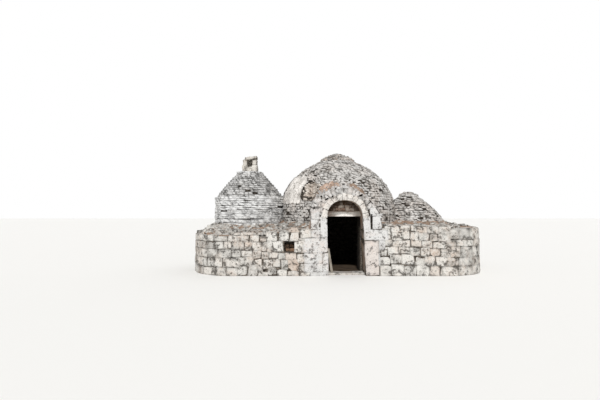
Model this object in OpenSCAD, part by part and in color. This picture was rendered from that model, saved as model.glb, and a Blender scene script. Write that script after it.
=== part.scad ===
// Dry stone trullo house: one main domed room with a door, a hearth room under a
// stepped cone with its chimney on the left, and a low domed side room on the right.
// Millimetres, +Z up, the door faces -Y, the origin is the middle of the footprint's
// box at ground level.

/* [Plan] */
// From the face of the front wall back to the foot of the main dome
main_back = 620; // [610:10:700]
// How far the hearth room's drum stands into the main dome, seen from the front
hearth_bite = 150; // [100:10:200]
// How far the hearth room stands in front of the main room's centre
hearth_forward = 400; // [300:10:500]
// How far the side dome stands into the main dome, seen from the front
side_bite = 630; // [560:10:680]
// How far the side room stands behind the main room's centre
side_behind = 500; // [400:10:550]
// Radius of the two rounded front corners
corner_r = 1450; // [1300:10:1500]

/* [Walls] */
// Width of the terrace round the foot of each dome
terrace_w = 450; // [430:10:500]
// Thickness of the outer leaf of the walls
wall_t = 420; // [380:10:430]
// Height of the terrace that the domes stand on
terrace_z = 1460; // [1420:10:1500]
// How far the walls at the sides and back stand below the terrace
wall_drop = 60; // [40:5:100]
// How far the front wall right of the door stands above the terrace
front_right_rise = 20; // [5:5:40]
// How far the front wall beside the portal on the left stands below the terrace
front_left_drop = 80; // [60:5:120]
// Height lost at each of the two broken steps of the left front wall
broken_step = 100; // [60:5:140]
// Thickness of the lining wall of the main room
main_lining_t = 380; // [340:10:400]
// Thickness of the lining walls of the hearth and side rooms
small_lining_t = 300; // [260:10:320]

/* [Rooms] */
// Inner radius of the main room
main_room_r = 1450; // [1400:10:1480]
// Thickness of the masonry over the top of the main room's inner vault
main_cover = 380; // [340:10:460]
// Inner radius of the hearth room
hearth_room_r = 800; // [760:10:830]
// Thickness of the masonry over the top of the hearth room's inner vault
hearth_cover = 230; // [200:10:320]
// Inner radius of the side room
side_room_r = 800; // [760:10:830]
// Thickness of the masonry over the top of the side room's inner vault
side_cover = 370; // [330:10:440]
// Width of the inner passages between the rooms
passage_w = 700; // [600:10:760]
// Height of the inner passages between the rooms
passage_h = 1570; // [1550:10:1650]

/* [Domes] */
// How far the foot of the main dome stands outside the main room's lining
main_ledge = 250; // [220:10:290]
// Height of the main dome's facing, from the terrace to the foot of its crown
main_dome_h = 2320; // [2280:10:2360]
// How far above its facing the main dome's curve would close
main_peak_rise = 140; // [120:5:160]
// Height of the rubble crown on the main dome
crown_h = 200; // [180:10:220]
// How far the hearth room's drum stands outside that room's lining
hearth_ledge = 100; // [80:10:130]
// Height of the drum over the terrace
drum_h = 960; // [900:10:1020]
// Setback of the cone from the drum's face
cone_setback = 60; // [30:5:80]
// Height of the cone that stands on the drum
cone_h = 860; // [820:10:900]
// Radius of the hearth cone's flat top
hearth_top_r = 420; // [400:5:450]
// How far the foot of the side dome stands outside the side room's lining
side_ledge = 200; // [160:10:240]
// Height of the side dome over the terrace
side_dome_h = 1210; // [1160:10:1260]
// Radius of the hollow where the main dome's facing has fallen
scar_r = 460; // [400:10:480]
// Depth of that hollow
scar_depth = 170; // [120:10:200]
// Height of the middle of that hollow over the terrace
scar_rise = 1240; // [1160:10:1320]
// Thickness of the lime coat left on the main dome
coat_t = 40; // [30:2:50]
// Height of the lime coat's foot over the terrace
coat_foot = 440; // [340:20:540]
// Height of the lime coat's top over the terrace
coat_head = 1720; // [1640:20:1780]

/* [Portal] */
// Width of the doorway
door_w = 1080; // [1000:10:1120]
// How far the right jamb stands back at its foot
right_jamb_back = 80; // [0:5:100]
// How far the left jamb stands in at its foot
left_jamb_in = 40; // [0:5:50]
// Height of the arch's springing
spring_z = 1730; // [1710:10:1750]
// Depth of the arched recess in front of the lintel
recess_d = 450; // [430:10:480]
// Thickness of the arch ring
ring_t = 170; // [150:10:190]
// Height of the lintel's underside over the springing
lintel_rise = 35; // [25:5:60]
// Height of the lintel stone
lintel_h = 175; // [160:5:190]
// Bearing of each lintel on the masonry at either side
bearing = 140; // [100:10:180]
// How far the rubble infill over the lintel stands back from the lintel's rear
infill_back = 25; // [10:5:40]
// Height of the inner lintel stone
inner_lintel_h = 160; // [140:5:180]
// Depth of the inner lintel stone
inner_lintel_d = 300; // [260:10:340]
// How far the inner lintel stands into the room
inner_lintel_out = 40; // [20:5:60]
// Width of the masonry of the portal left of the doorway
left_pier_w = 460; // [420:10:500]
// Width of the masonry of the portal right of the doorway
right_pier_w = 560; // [520:10:600]
// Gap that the core fills between the door piers and the foot of the main dome
pier_gap = 20; // [10:5:40]
// Height of the portal's gable over the springing
gable_h = 970; // [930:10:990]
// Height of the threshold slab
threshold_h = 70; // [50:5:90]
// Depth of the threshold slab
threshold_d = 420; // [380:10:450]
// Length of the old door stile that leans in the doorway
stile_l = 740; // [700:10:900]
// Width of the old door stile
stile_w = 70; // [60:5:80]
// Thickness of the old door stile
stile_t = 35; // [30:5:40]
// Lean of the old door stile from the upright
stile_lean = 9; // [6:1:11]

/* [Niche] */
// Centre of the niche, left of the door's centre line
niche_x = 1670; // [1600:10:1760]
// Height of the niche's sill
niche_z = 710; // [680:10:740]
// Width of the niche
niche_w = 310; // [280:5:330]
// Height of the niche
niche_h = 330; // [300:5:340]
// Depth of the niche
niche_d = 350; // [300:5:360]

/* [Chimney] */
// Thickness of the slab on top of the hearth cone
slab_h = 60; // [50:5:80]
// Width of the chimney across its front
chimney_w = 520; // [480:10:560]
// Depth of the chimney
chimney_d = 460; // [420:10:500]
// Clear width of the flue
flue_w = 180; // [160:5:200]
// Height of the lower tier of chimney stones
chimney_low_h = 240; // [220:5:260]
// Height of the upper tier of chimney stones
chimney_high_h = 200; // [180:5:220]
// Height of the sill stone under the chimney's mouth
sill_h = 170; // [150:5:200]
// Thickness of the chimney's cap stone
cap_h = 90; // [80:5:110]
// Width of the chimney's cap stone
cap_w = 420; // [400:10:440]
// How far the cap stone lies off the flue's middle
cap_shift = 40; // [20:5:50]

/* [Hidden] */

$fn = 180;
eps = 1;                    // overshoot of a cut past the face that it opens
steps = 10;                 // points along each quarter of a round wall's outline
curve_steps = 12;           // points along a dome's curve

limestone = [0.78, 0.76, 0.71];
rubble = [0.60, 0.55, 0.48];
lime = [0.82, 0.81, 0.78];
old_wood = [0.55, 0.52, 0.47];

// Radii of the lining walls' backs
main_lining_r = main_room_r + main_lining_t;
hearth_lining_r = hearth_room_r + small_lining_t;
side_lining_r = side_room_r + small_lining_t;

// Radii of the domes at the foot
main_r = main_lining_r + main_ledge;
hearth_r = hearth_lining_r + hearth_ledge;
side_r = side_lining_r + side_ledge;

// Outer radii of the walls round each room
main_wall_r = main_r + terrace_w;
hearth_wall_r = hearth_r + terrace_w;
side_wall_r = side_r + terrace_w;

// Centres of the three rooms on the plan, from the foot of the doorway's centre line
main_y = main_back + main_r;
hearth_y = main_y - hearth_forward;
side_y = main_y + side_behind;
main_c = [0, main_y];
hearth_c = [hearth_bite - main_r - hearth_r, hearth_y];
side_c = [main_r + side_r - side_bite, side_y];

// Heights over the ground
wall_z = terrace_z - wall_drop;
front_right_z = terrace_z + front_right_rise;
front_left_z = terrace_z - front_left_drop;
main_top_z = terrace_z + main_dome_h;
main_peak_z = main_top_z + main_peak_rise;
main_crown_z = main_top_z + crown_h;
main_vault_z = main_top_z - main_cover;
hearth_drum_z = terrace_z + drum_h;
hearth_cone_z = hearth_drum_z + cone_h;
hearth_vault_z = hearth_cone_z - hearth_cover;
side_top_z = terrace_z + side_dome_h;
side_vault_z = side_top_z - side_cover;
lintel_z = spring_z + lintel_rise;
gable_z = spring_z + gable_h;
tall = main_crown_z + terrace_z;     // higher than anything here, and more than half as wide

// Half widths of the portal, and the depths of what stands in it
portal_left = door_w / 2 + left_pier_w;
portal_right = door_w / 2 + right_pier_w;
pier_d = main_back - pier_gap;
dome_gap = 5;                        // play between the lintel and the foot of the main dome
lintel_d = main_back - dome_gap - recess_d;
infill_t = lintel_d - infill_back;

left_x = hearth_c[0] - hearth_wall_r;
right_x = side_c[0] + side_wall_r;
back_y = main_c[1] + main_wall_r;
left_corner_c = [left_x + corner_r, corner_r];
right_corner_c = [right_x - corner_r, corner_r];
half_door = door_w / 2;
split_left_y = (main_y + hearth_y) / 2;    // where front and back of the core meet on the left
split_right_y = (main_y + side_y) / 2;     // and on the right
slope_back_y = hearth_y - hearth_r + 200;   // where the sloping terrace on the left levels out
// Beds between the lifts of the domes
main_split_z = [terrace_z + main_dome_h * 0.345, terrace_z + main_dome_h * 0.66];
side_split_z = terrace_z + side_dome_h * 0.438;
join_gap = 0.5;                      // play between the lime coat and the dome
left_steps = [370, 1360];            // how far left of the portal each broken step lies

// Bearing of one centre from another, and half the angle that one circle cuts from another
function bearing_of(a, b) = atan2(b[1] - a[1], b[0] - a[0]);
function half_cut(a, ra, b, rb) =
    let (d = norm(b - a)) acos((d * d + ra * ra - rb * rb) / (2 * d * ra));

// Points along an arc, from angle a0 to angle a1
function arc(c, r, a0, a1, n = steps) =
    [for (i = [0:n]) let (a = a0 + (a1 - a0) * i / n) [c[0] + r * cos(a), c[1] + r * sin(a)]];

// The angles at which the back walls meet, for the face set in by t
function hearth_meets(t) = bearing_of(hearth_c, main_c)
    + half_cut(hearth_c, hearth_wall_r - t, main_c, main_wall_r - t);
function main_meets_hearth(t) = bearing_of(main_c, hearth_c) + 360
    - half_cut(main_c, main_wall_r - t, hearth_c, hearth_wall_r - t);
function main_meets_side(t) = bearing_of(main_c, side_c)
    + half_cut(main_c, main_wall_r - t, side_c, side_wall_r - t);
function side_meets(t) = bearing_of(side_c, main_c)
    - half_cut(side_c, side_wall_r - t, main_c, main_wall_r - t);

// A dome's outer radius at share t of its height: full at the haunch, drawn in at the top
function full_curve(t) = pow(1 - pow(t, 3), 0.77);
function low_curve(t) = 1 - pow(t, 1.5);
function vault_curve(t) = 1 - pow(t, 1.8);
function cone_curve(t) = 1 - pow(t, 1.15);

main_curve = [for (i = [0:curve_steps])
    let (z = terrace_z + (main_top_z - terrace_z) * i / curve_steps)
    [main_r * full_curve((z - terrace_z) / (main_peak_z - terrace_z)), z]];
side_curve = [for (i = [0:curve_steps])
    let (t = i / curve_steps)
    [side_r * low_curve(t * 0.94), terrace_z + (side_top_z - terrace_z) * t]];

function vault(r, z0, z1) = [for (i = [0:curve_steps])
    let (t = i / curve_steps) [r * vault_curve(t), z0 + (z1 - z0) * t]];

module on_plan() {
    translate([-(left_x + right_x) / 2, -back_y / 2, 0]) children();
}

module at_centre(c) {
    translate([c[0], c[1], 0]) children();
}

// A curved stretch of the outer leaf. The angles of its two ends may differ on its two faces.
module curved_wall(c, r, out_0, out_1, in_0, in_1, h) {
    color(limestone) on_plan() linear_extrude(h)
        polygon(concat(arc(c, r, out_0, out_1), arc(c, r - wall_t, in_1, in_0)));
}

// A curved stretch that runs on into a straight one of length run along Y
module curved_wall_with_run(c, r, a0, a1, run, h) {
    color(limestone) on_plan() linear_extrude(h)
        polygon(concat(
            [for (p = arc(c, r, a0, a1)) p],
            [[c[0] + r * cos(a1), c[1] - run], [c[0] + (r - wall_t) * cos(a1), c[1] - run]],
            arc(c, r - wall_t, a1, a0)));
}

// Everything that the room's void takes out of what surrounds it
module passage(from, to, from_r, to_r, h) {
    run = norm(to - from);
    at_centre(from) rotate([0, 0, bearing_of(from, to)])
        translate([from_r, -passage_w / 2, -eps]) cube([run - from_r - to_r, passage_w, h + eps]);
}

module hearth_passage() {
    passage(main_c, hearth_c, main_room_r * 0.9, hearth_room_r * 0.8, passage_h);
}

module side_passage() {
    passage(main_c, side_c, main_room_r * 0.9, side_room_r * 0.8, passage_h);
}

module door_passage(h = lintel_z) {
    translate([-half_door, -eps, -eps]) cube([door_w, main_y - main_room_r * 0.9 + eps, h + eps]);
}

module main_dome_outside() {
    at_centre(main_c) rotate([0, 0, 90]) rotate_extrude()
        polygon(concat([[0, terrace_z]], main_curve, [[0, main_top_z]]));
}

// Outer leaf of the walls

module front_wall_left() {
    x1 = -portal_left;
    x0 = left_corner_c[0];
    step_1 = x1 - left_steps[0];
    step_2 = x1 - left_steps[1];
    color(limestone) on_plan() difference() {
        translate([0, wall_t, 0]) rotate([90, 0, 0]) linear_extrude(wall_t) polygon([
            [x0, 0], [x1, 0], [x1, front_left_z], [step_1, front_left_z],
            [step_1, front_left_z - broken_step], [step_2, front_left_z - broken_step],
            [step_2, front_left_z - 2 * broken_step], [x0, front_left_z - 2 * broken_step]]);
        translate([-niche_x - niche_w / 2, -eps, niche_z]) cube([niche_w, niche_d + eps, niche_h]);
    }
}

module front_wall_right() {
    color(limestone) on_plan() translate([portal_right, 0, 0])
        cube([right_corner_c[0] - portal_right, wall_t, front_right_z]);
}

module corner_wall_left() {
    curved_wall(left_corner_c, corner_r, 270, 180, 270, 180, front_left_z - 2 * broken_step);
}

module corner_wall_right() {
    curved_wall(right_corner_c, corner_r, -90, 0, -90, 0, wall_z);
}

module side_wall_left() {
    curved_wall_with_run(hearth_c, hearth_wall_r, 120, 180, hearth_y - corner_r,
        front_left_z - broken_step);
}

module side_wall_right() {
    curved_wall_with_run(side_c, side_wall_r, 55, 0, side_y - corner_r, wall_z);
}

module back_wall_left() {
    curved_wall(hearth_c, hearth_wall_r, 120, hearth_meets(0), 120, hearth_meets(wall_t), wall_z);
}

module back_wall_middle() {
    curved_wall(main_c, main_wall_r, main_meets_hearth(0), main_meets_side(0),
        main_meets_hearth(wall_t), main_meets_side(wall_t), wall_z);
}

module back_wall_right() {
    curved_wall(side_c, side_wall_r, side_meets(0) + 360, 55, side_meets(wall_t) + 360, 55, wall_z);
}

// Portal

// A door pier between two lines, each given by its place at the foot and at the springing
module pier_body(left, right) {
    translate([0, pier_d, 0]) rotate([90, 0, 0]) linear_extrude(pier_d)
        polygon([[left[0], 0], [right[0], 0], [right[1], spring_z], [left[1], spring_z]]);
}

module left_pier_body() {
    pier_body([-portal_left, -portal_left], [-half_door + left_jamb_in, -half_door]);
}

module door_pier_left() {
    color(limestone) on_plan() difference() {
        left_pier_body();
        threshold_body();
    }
}

module door_pier_right() {
    color(limestone) on_plan() difference() {
        pier_body([half_door + right_jamb_back, half_door], [portal_right, portal_right]);
        threshold_body();
    }
}

// The gable's outline, given as shares of the portal's half widths and of the gable's rise
function gable_point(p) = [
    p[0] < 0 ? p[0] * portal_left : p[0] * portal_right,
    spring_z + p[1] * (gable_z - spring_z)];
gable_shape = [[1, 0], [0.95, 0.16], [0.83, 0.36], [0.67, 0.58], [0.38, 0.80], [0, 1],
    [-0.30, 0.93], [-0.60, 0.76], [-0.83, 0.66], [-0.97, 0.36], [-1, 0]];

module gable_mass() {
    depth = main_y - main_room_r;
    translate([0, depth, 0]) rotate([90, 0, 0]) linear_extrude(depth)
        polygon([for (p = gable_shape) gable_point(p)]);
    translate([-portal_left, pier_d, terrace_z])
        cube([portal_left + portal_right, depth - pier_d, spring_z - terrace_z]);
}

module arch_cut(r, depth) {
    translate([0, depth, spring_z]) rotate([90, 0, 0]) cylinder(r = r, h = depth + eps);
}

module lintel_body() {
    translate([-half_door - bearing, recess_d, lintel_z])
        cube([door_w + 2 * bearing, lintel_d, lintel_h]);
}

module infill_body() {
    intersection() {
        translate([0, recess_d + infill_t, spring_z]) rotate([90, 0, 0])
            cylinder(r = half_door, h = infill_t);
        translate([-door_w, 0, lintel_z + lintel_h]) cube([2 * door_w, tall, door_w]);
    }
}

module portal_gable() {
    color(limestone) on_plan() difference() {
        gable_mass();
        main_dome_outside();
        arch_cut(half_door + ring_t, recess_d);
        translate([-half_door, recess_d - eps, terrace_z - eps])
            cube([door_w, main_y, lintel_z - terrace_z + eps]);
        lintel_body();
        infill_body();
    }
}

module arch_ring() {
    color(limestone) on_plan() difference() {
        translate([0, recess_d, spring_z]) rotate([90, 0, 0])
            cylinder(r = half_door + ring_t, h = recess_d);
        arch_cut(half_door, recess_d + eps);
        translate([-door_w, -eps, spring_z - door_w])
            cube([2 * door_w, recess_d + 2 * eps, door_w]);
    }
}

module door_lintel() {
    color(limestone) on_plan() lintel_body();
}

module arch_infill() {
    color(rubble) on_plan() infill_body();
}

module inner_lintel_body() {
    translate([-half_door - bearing, main_y - main_room_r + inner_lintel_out - inner_lintel_d, lintel_z])
        cube([door_w + 2 * bearing, inner_lintel_d, inner_lintel_h]);
}

module inner_lintel() {
    color(limestone) on_plan() inner_lintel_body();
}

module threshold_body() {
    translate([-half_door - bearing / 2, pier_d - threshold_d, 0])
        cube([door_w + bearing, threshold_d, threshold_h]);
}

module threshold() {
    color(limestone) on_plan() threshold_body();
}

// The stile stands on the threshold and leans on the left jamb, worn flat where it touches
stile_top_z = threshold_h + stile_l * cos(stile_lean);
jamb_x = -half_door + left_jamb_in * (1 - stile_top_z / spring_z);

module old_door_stile() {
    color(old_wood) on_plan() difference() {
        translate([jamb_x + stile_l * sin(stile_lean) - stile_w / 12,
            pier_d - threshold_d + stile_w, threshold_h - stile_w * sin(stile_lean)])
            rotate([0, -stile_lean, 0]) cube([stile_w, stile_t, stile_l]);
        left_pier_body();
        threshold_body();
    }
}

// Lining walls of the rooms

module lining(c, room_r, lining_r, a0, a1) {
    difference() {
        at_centre(c) rotate([0, 0, a0]) rotate_extrude(angle = a1 - a0)
            translate([room_r, 0]) square([lining_r - room_r, terrace_z]);
        children();
    }
}

module main_lining(a0, a1) {
    color(rubble) on_plan() lining(main_c, main_room_r, main_lining_r, a0, a1) {
        union() {
            door_passage(terrace_z + eps);
            hearth_passage();
            side_passage();
        }
    }
}

module main_room_wall_front_left() {
    main_lining(bearing_of(main_c, hearth_c) + 360, 270);
}

module main_room_wall_front_right() {
    main_lining(-90, bearing_of(main_c, side_c));
}

module main_room_wall_back_left() {
    main_lining(100, bearing_of(main_c, hearth_c) + 360);
}

module main_room_wall_back_right() {
    main_lining(bearing_of(main_c, side_c), 100);
}

module room_lining(c, room_r, lining_r) {
    color(rubble) on_plan() difference() {
        at_centre(c) cylinder(r = lining_r, h = terrace_z);
        at_centre(c) translate([0, 0, -eps]) cylinder(r = room_r, h = tall);
        children();
    }
}

module hearth_room_wall() {
    room_lining(hearth_c, hearth_room_r, hearth_lining_r) hearth_passage();
}

module side_room_wall() {
    room_lining(side_c, side_room_r, side_lining_r) {
        union() {
            side_passage();
            at_centre(main_c) translate([0, 0, -eps]) cylinder(r = main_lining_r, h = tall);
        }
    }
}

// Rubble core between the leaves, whose top is the terrace

core_outline = concat(
    arc(left_corner_c, corner_r - wall_t, 270, 180),
    arc(hearth_c, hearth_wall_r - wall_t, 180, hearth_meets(wall_t)),
    arc(main_c, main_wall_r - wall_t, main_meets_hearth(wall_t), main_meets_side(wall_t), 2 * steps),
    arc(side_c, side_wall_r - wall_t, side_meets(wall_t) + 360, 0, 2 * steps),
    arc(right_corner_c, corner_r - wall_t, 0, -90));

module rubble_core(x0, x1, y0, y1) {
    color(rubble) on_plan() difference() {
        linear_extrude(terrace_z) intersection() {
            polygon(core_outline);
            translate([x0, y0]) square([x1 - x0, y1 - y0]);
        }
        at_centre(main_c) translate([0, 0, -eps]) cylinder(r = main_lining_r, h = tall);
        at_centre(hearth_c) translate([0, 0, -eps]) cylinder(r = hearth_lining_r, h = tall);
        at_centre(side_c) translate([0, 0, -eps]) cylinder(r = side_lining_r, h = tall);
        door_passage(terrace_z + eps);
        hearth_passage();
        side_passage();
        translate([-portal_left, -eps, -eps])
            cube([portal_left + portal_right, pier_d + eps, tall]);
        children();
    }
}

// What has washed off the top of the core behind the low left front wall
module washed_slope() {
    low_z = front_left_z - broken_step;
    translate([left_x, 0, 0]) rotate([90, 0, 90]) linear_extrude(-left_x - portal_left)
        polygon([[-eps, low_z], [wall_t, low_z], [slope_back_y, terrace_z],
            [slope_back_y, terrace_z + eps], [-eps, terrace_z + eps]]);
}

module rubble_core_front_left() {
    rubble_core(left_x, 0, 0, split_left_y) washed_slope();
}

module rubble_core_front_right() {
    rubble_core(0, right_x, 0, split_right_y);
}

module rubble_core_back_left() {
    rubble_core(left_x, 0, split_left_y, back_y);
}

module rubble_core_back_right() {
    rubble_core(0, right_x, split_right_y, back_y);
}

// Domes

module vault_void(c, room_r, top_z) {
    at_centre(c) rotate([0, 0, 90]) rotate_extrude()
        polygon(concat([[0, terrace_z - eps], [room_r, terrace_z - eps]],
            vault(room_r, terrace_z, top_z)));
}

module scar() {
    a = 238;
    z = terrace_z + scar_rise;
    face_r = main_r * full_curve((z - terrace_z) / (main_peak_z - terrace_z));
    out_r = face_r + scar_r - scar_depth;
    at_centre(main_c) translate([out_r * cos(a), out_r * sin(a), z]) sphere(r = scar_r);
}

// A slice of a dome between two heights
module slice(z0, z1) {
    intersection() {
        children();
        translate([-tall, -tall / 2, z0]) cube([2 * tall, 2 * tall, z1 - z0]);
    }
}

module main_dome(z0, z1) {
    color(limestone) on_plan() slice(z0, z1) difference() {
        main_dome_outside();
        vault_void(main_c, main_room_r, main_vault_z);
        door_passage();
        hearth_passage();
        side_passage();
        inner_lintel_body();
        scar();
    }
}

module main_dome_lower() {
    main_dome(terrace_z, main_split_z[0]);
}

module main_dome_middle() {
    main_dome(main_split_z[0], main_split_z[1]);
}

module main_dome_upper() {
    main_dome(main_split_z[1], main_top_z);
}

module main_dome_crown() {
    foot_r = main_curve[curve_steps][0] - 30;
    color(limestone) on_plan() at_centre(main_c) translate([0, 0, main_top_z])
        cylinder(r1 = foot_r, r2 = foot_r / 2.5, h = main_crown_z - main_top_z);
}

module lime_coat() {
    rows = [for (p = main_curve)
        if (p[1] >= terrace_z + coat_foot && p[1] <= terrace_z + coat_head) p];
    color(lime) on_plan() difference() {
        at_centre(main_c) rotate([0, 0, 198]) rotate_extrude(angle = 32) polygon(concat(
            [for (p = rows) [p[0] + join_gap, p[1]]],
            [for (i = [len(rows) - 1:-1:0]) [rows[i][0] + coat_t, rows[i][1]]]));
        hearth_outside(join_gap);
        scar();
    }
}

module hearth_drum_outside(play = 0) {
    at_centre(hearth_c) translate([0, 0, terrace_z])
        cylinder(r = hearth_r + play, h = hearth_drum_z - terrace_z);
}

cone_rows = [for (i = [0:4])
    [hearth_top_r + (hearth_r - cone_setback - hearth_top_r) * cone_curve(i / 4),
        hearth_drum_z + (hearth_cone_z - hearth_drum_z) * i / 4]];

module hearth_cone_outside(play = 0) {
    at_centre(hearth_c) rotate_extrude() polygon(concat([[0, hearth_drum_z]],
        [for (p = cone_rows) [p[0] + play, p[1]]], [[0, hearth_cone_z]]));
}

module hearth_outside(play = 0) {
    hearth_drum_outside(play);
    hearth_cone_outside(play);
}

module flue() {
    at_centre(hearth_c) translate([-flue_w / 2, -flue_w / 2, hearth_drum_z + flue_w])
        cube([flue_w, flue_w, tall]);
}

module hearth_drum() {
    color(limestone) on_plan() difference() {
        hearth_drum_outside();
        vault_void(hearth_c, hearth_room_r, hearth_vault_z);
        main_dome_outside();
        hearth_passage();
    }
}

module hearth_cone() {
    color(limestone) on_plan() difference() {
        hearth_cone_outside();
        vault_void(hearth_c, hearth_room_r, hearth_vault_z);
        main_dome_outside();
        flue();
    }
}

module hearth_top_slab() {
    color(limestone) on_plan() difference() {
        at_centre(hearth_c) translate([0, 0, hearth_cone_z]) cylinder(r = hearth_top_r, h = slab_h);
        flue();
    }
}

module side_dome(z0, z1) {
    color(limestone) on_plan() slice(z0, z1) difference() {
        at_centre(side_c) rotate_extrude()
            polygon(concat([[0, terrace_z]], side_curve, [[0, side_top_z]]));
        vault_void(side_c, side_room_r, side_vault_z);
        main_dome_outside();
        side_passage();
    }
}

module side_dome_lower() {
    side_dome(terrace_z, side_split_z);
}

module side_dome_upper() {
    side_dome(side_split_z, side_top_z);
}

// Chimney: stones set on edge round the flue, with a cap stone

chimney_z = hearth_cone_z + slab_h;
post_w = (chimney_w - flue_w) / 2;

module chimney_stone(x0, x1, y0, y1, z0, h) {
    color(limestone) on_plan() at_centre(hearth_c) translate([x0, y0, z0])
        cube([x1 - x0, y1 - y0, h]);
}

module chimney_left_stone() {
    chimney_stone(-chimney_w / 2, -flue_w / 2, -chimney_d / 2, chimney_d / 2,
        chimney_z, chimney_low_h);
}

module chimney_left_upper_stone() {
    chimney_stone(-chimney_w / 2 + 20, -flue_w / 2 - 10, -chimney_d / 2 + 30, chimney_d / 2 - 20,
        chimney_z + chimney_low_h, chimney_high_h);
}

module chimney_right_stone() {
    chimney_stone(flue_w / 2, chimney_w / 2, -chimney_d / 2, chimney_d / 2,
        chimney_z, chimney_low_h);
}

module chimney_right_upper_stone() {
    chimney_stone(flue_w / 2 + 10, chimney_w / 2 - 20, -chimney_d / 2 + 10, chimney_d / 2 - 30,
        chimney_z + chimney_low_h, chimney_high_h);
}

module chimney_back_stone() {
    chimney_stone(-flue_w / 2, flue_w / 2, flue_w / 2, chimney_d / 2 - 20,
        chimney_z, chimney_low_h + chimney_high_h);
}

module chimney_sill_stone() {
    chimney_stone(-flue_w / 2, flue_w / 2, -chimney_d / 2 + 10, -flue_w / 2, chimney_z, sill_h);
}

module chimney_cap_stone() {
    chimney_stone(-cap_w / 2 + cap_shift, cap_w / 2 + cap_shift,
        -chimney_d / 2 - 20, chimney_d / 2 - 10, chimney_z + chimney_low_h + chimney_high_h, cap_h);
}

front_wall_left();
front_wall_right();
corner_wall_left();
corner_wall_right();
side_wall_left();
side_wall_right();
back_wall_left();
back_wall_middle();
back_wall_right();
door_pier_left();
door_pier_right();
portal_gable();
arch_ring();
door_lintel();
arch_infill();
inner_lintel();
threshold();
old_door_stile();
main_room_wall_front_left();
main_room_wall_front_right();
main_room_wall_back_left();
main_room_wall_back_right();
hearth_room_wall();
side_room_wall();
rubble_core_front_left();
rubble_core_front_right();
rubble_core_back_left();
rubble_core_back_right();
main_dome_lower();
main_dome_middle();
main_dome_upper();
main_dome_crown();
lime_coat();
hearth_drum();
hearth_cone();
hearth_top_slab();
side_dome_lower();
side_dome_upper();
chimney_left_stone();
chimney_left_upper_stone();
chimney_right_stone();
chimney_right_upper_stone();
chimney_back_stone();
chimney_sill_stone();
chimney_cap_stone();
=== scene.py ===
import random
from math import atan2, cos, degrees, exp, hypot, pi, radians, sin, sqrt, tau

import bmesh
import bpy
from mathutils import Matrix, Vector, noise


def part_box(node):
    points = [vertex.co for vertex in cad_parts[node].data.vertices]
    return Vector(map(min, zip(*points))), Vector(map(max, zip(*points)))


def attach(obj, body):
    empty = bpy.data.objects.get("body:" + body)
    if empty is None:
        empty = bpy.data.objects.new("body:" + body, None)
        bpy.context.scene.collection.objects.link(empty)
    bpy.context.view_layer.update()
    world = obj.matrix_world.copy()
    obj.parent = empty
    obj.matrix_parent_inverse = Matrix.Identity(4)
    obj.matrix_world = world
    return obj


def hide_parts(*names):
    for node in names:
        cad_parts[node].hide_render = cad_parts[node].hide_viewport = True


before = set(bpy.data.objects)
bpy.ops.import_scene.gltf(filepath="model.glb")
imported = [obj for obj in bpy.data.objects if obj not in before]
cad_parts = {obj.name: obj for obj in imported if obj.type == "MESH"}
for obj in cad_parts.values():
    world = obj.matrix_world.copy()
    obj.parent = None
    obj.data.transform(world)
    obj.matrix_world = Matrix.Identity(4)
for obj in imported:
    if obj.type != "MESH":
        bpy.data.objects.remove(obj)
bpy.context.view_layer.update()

scene = bpy.context.scene
scene.view_settings.view_transform = "Standard"


# The view: a person of ordinary height stands twelve metres in front of the wall, a little
# left of the door, with a wide lens tipped two degrees up.
door_lo, door_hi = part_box("arch_ring")
house = Vector(((door_lo.x + door_hi.x) / 2, door_lo.y, 0.0))  # foot of the door's centre line

camera = bpy.data.objects.new("camera", bpy.data.cameras.new("camera"))
camera.data.lens = 24.0
camera.data.sensor_width = 36.0
camera.location = house + Vector((-1.35, -12.0, 1.85))
camera.rotation_euler = (radians(92.0), 0.0, 0.0)
scene.collection.objects.link(camera)
scene.camera = camera


# Studio: a level pale floor under a white surround, one large soft lamp high behind the viewer
# and a weak one from the back right. None of it belongs to the house.
def linear(code):
    """An sRGB colour in hex as linear red, green and blue."""
    parts = [int(code[i:i + 2], 16) / 255 for i in (1, 3, 5)]
    return [c / 12.92 if c <= 0.04045 else ((c + 0.055) / 1.055) ** 2.4 for c in parts] + [1.0]


def add(tree, kind, inputs=(), out=0, **settings):
    """Adds a node and returns its output out. inputs holds numbers, hex colours or other nodes'
    outputs, in the order of the node's sockets or under a socket's name or number."""
    node = tree.nodes.new("ShaderNode" + kind)
    for key, value in settings.items():
        setattr(node, key, value)
    for key, value in inputs.items() if isinstance(inputs, dict) else enumerate(inputs):
        if isinstance(value, bpy.types.NodeSocket):
            tree.links.new(value, node.inputs[key])
        else:
            node.inputs[key].default_value = linear(value) if isinstance(value, str) else value
    return node.outputs[out] if node.outputs else None


world = bpy.data.worlds.new("surround")
scene.world = world
world.use_nodes = True
tree = world.node_tree
tree.nodes.clear()
rays = add(tree, "LightPath").node.outputs
seen = add(tree, "Math", (rays["Is Camera Ray"], rays["Is Glossy Ray"]), operation="MAXIMUM")
seen = add(tree, "Math", (seen, rays["Is Transmission Ray"]), operation="MAXIMUM")
power = add(tree, "MapRange", {"Value": seen, "To Min": 0.40, "To Max": 1.0})
add(tree, "OutputWorld", (add(tree, "Background", {"Color": "#FFFFFF", "Strength": power}),))

for name, azimuth, height, watts, softness in (("key_lamp", -93.5, 42.0, 2.45, 3.0),
                                               ("fill_lamp", 50.0, 40.0, 0.45, 60.0)):
    lamp = bpy.data.objects.new(name, bpy.data.lights.new(name, "SUN"))
    lamp.data.energy = watts
    lamp.data.angle = radians(softness)
    way = Vector((cos(radians(azimuth)), sin(radians(azimuth)), 0.0)) * cos(radians(height))
    way.z = sin(radians(height))
    lamp.location = way * 20.0
    lamp.rotation_euler = (-way).to_track_quat("-Z", "Y").to_euler()
    scene.collection.objects.link(lamp)

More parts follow.
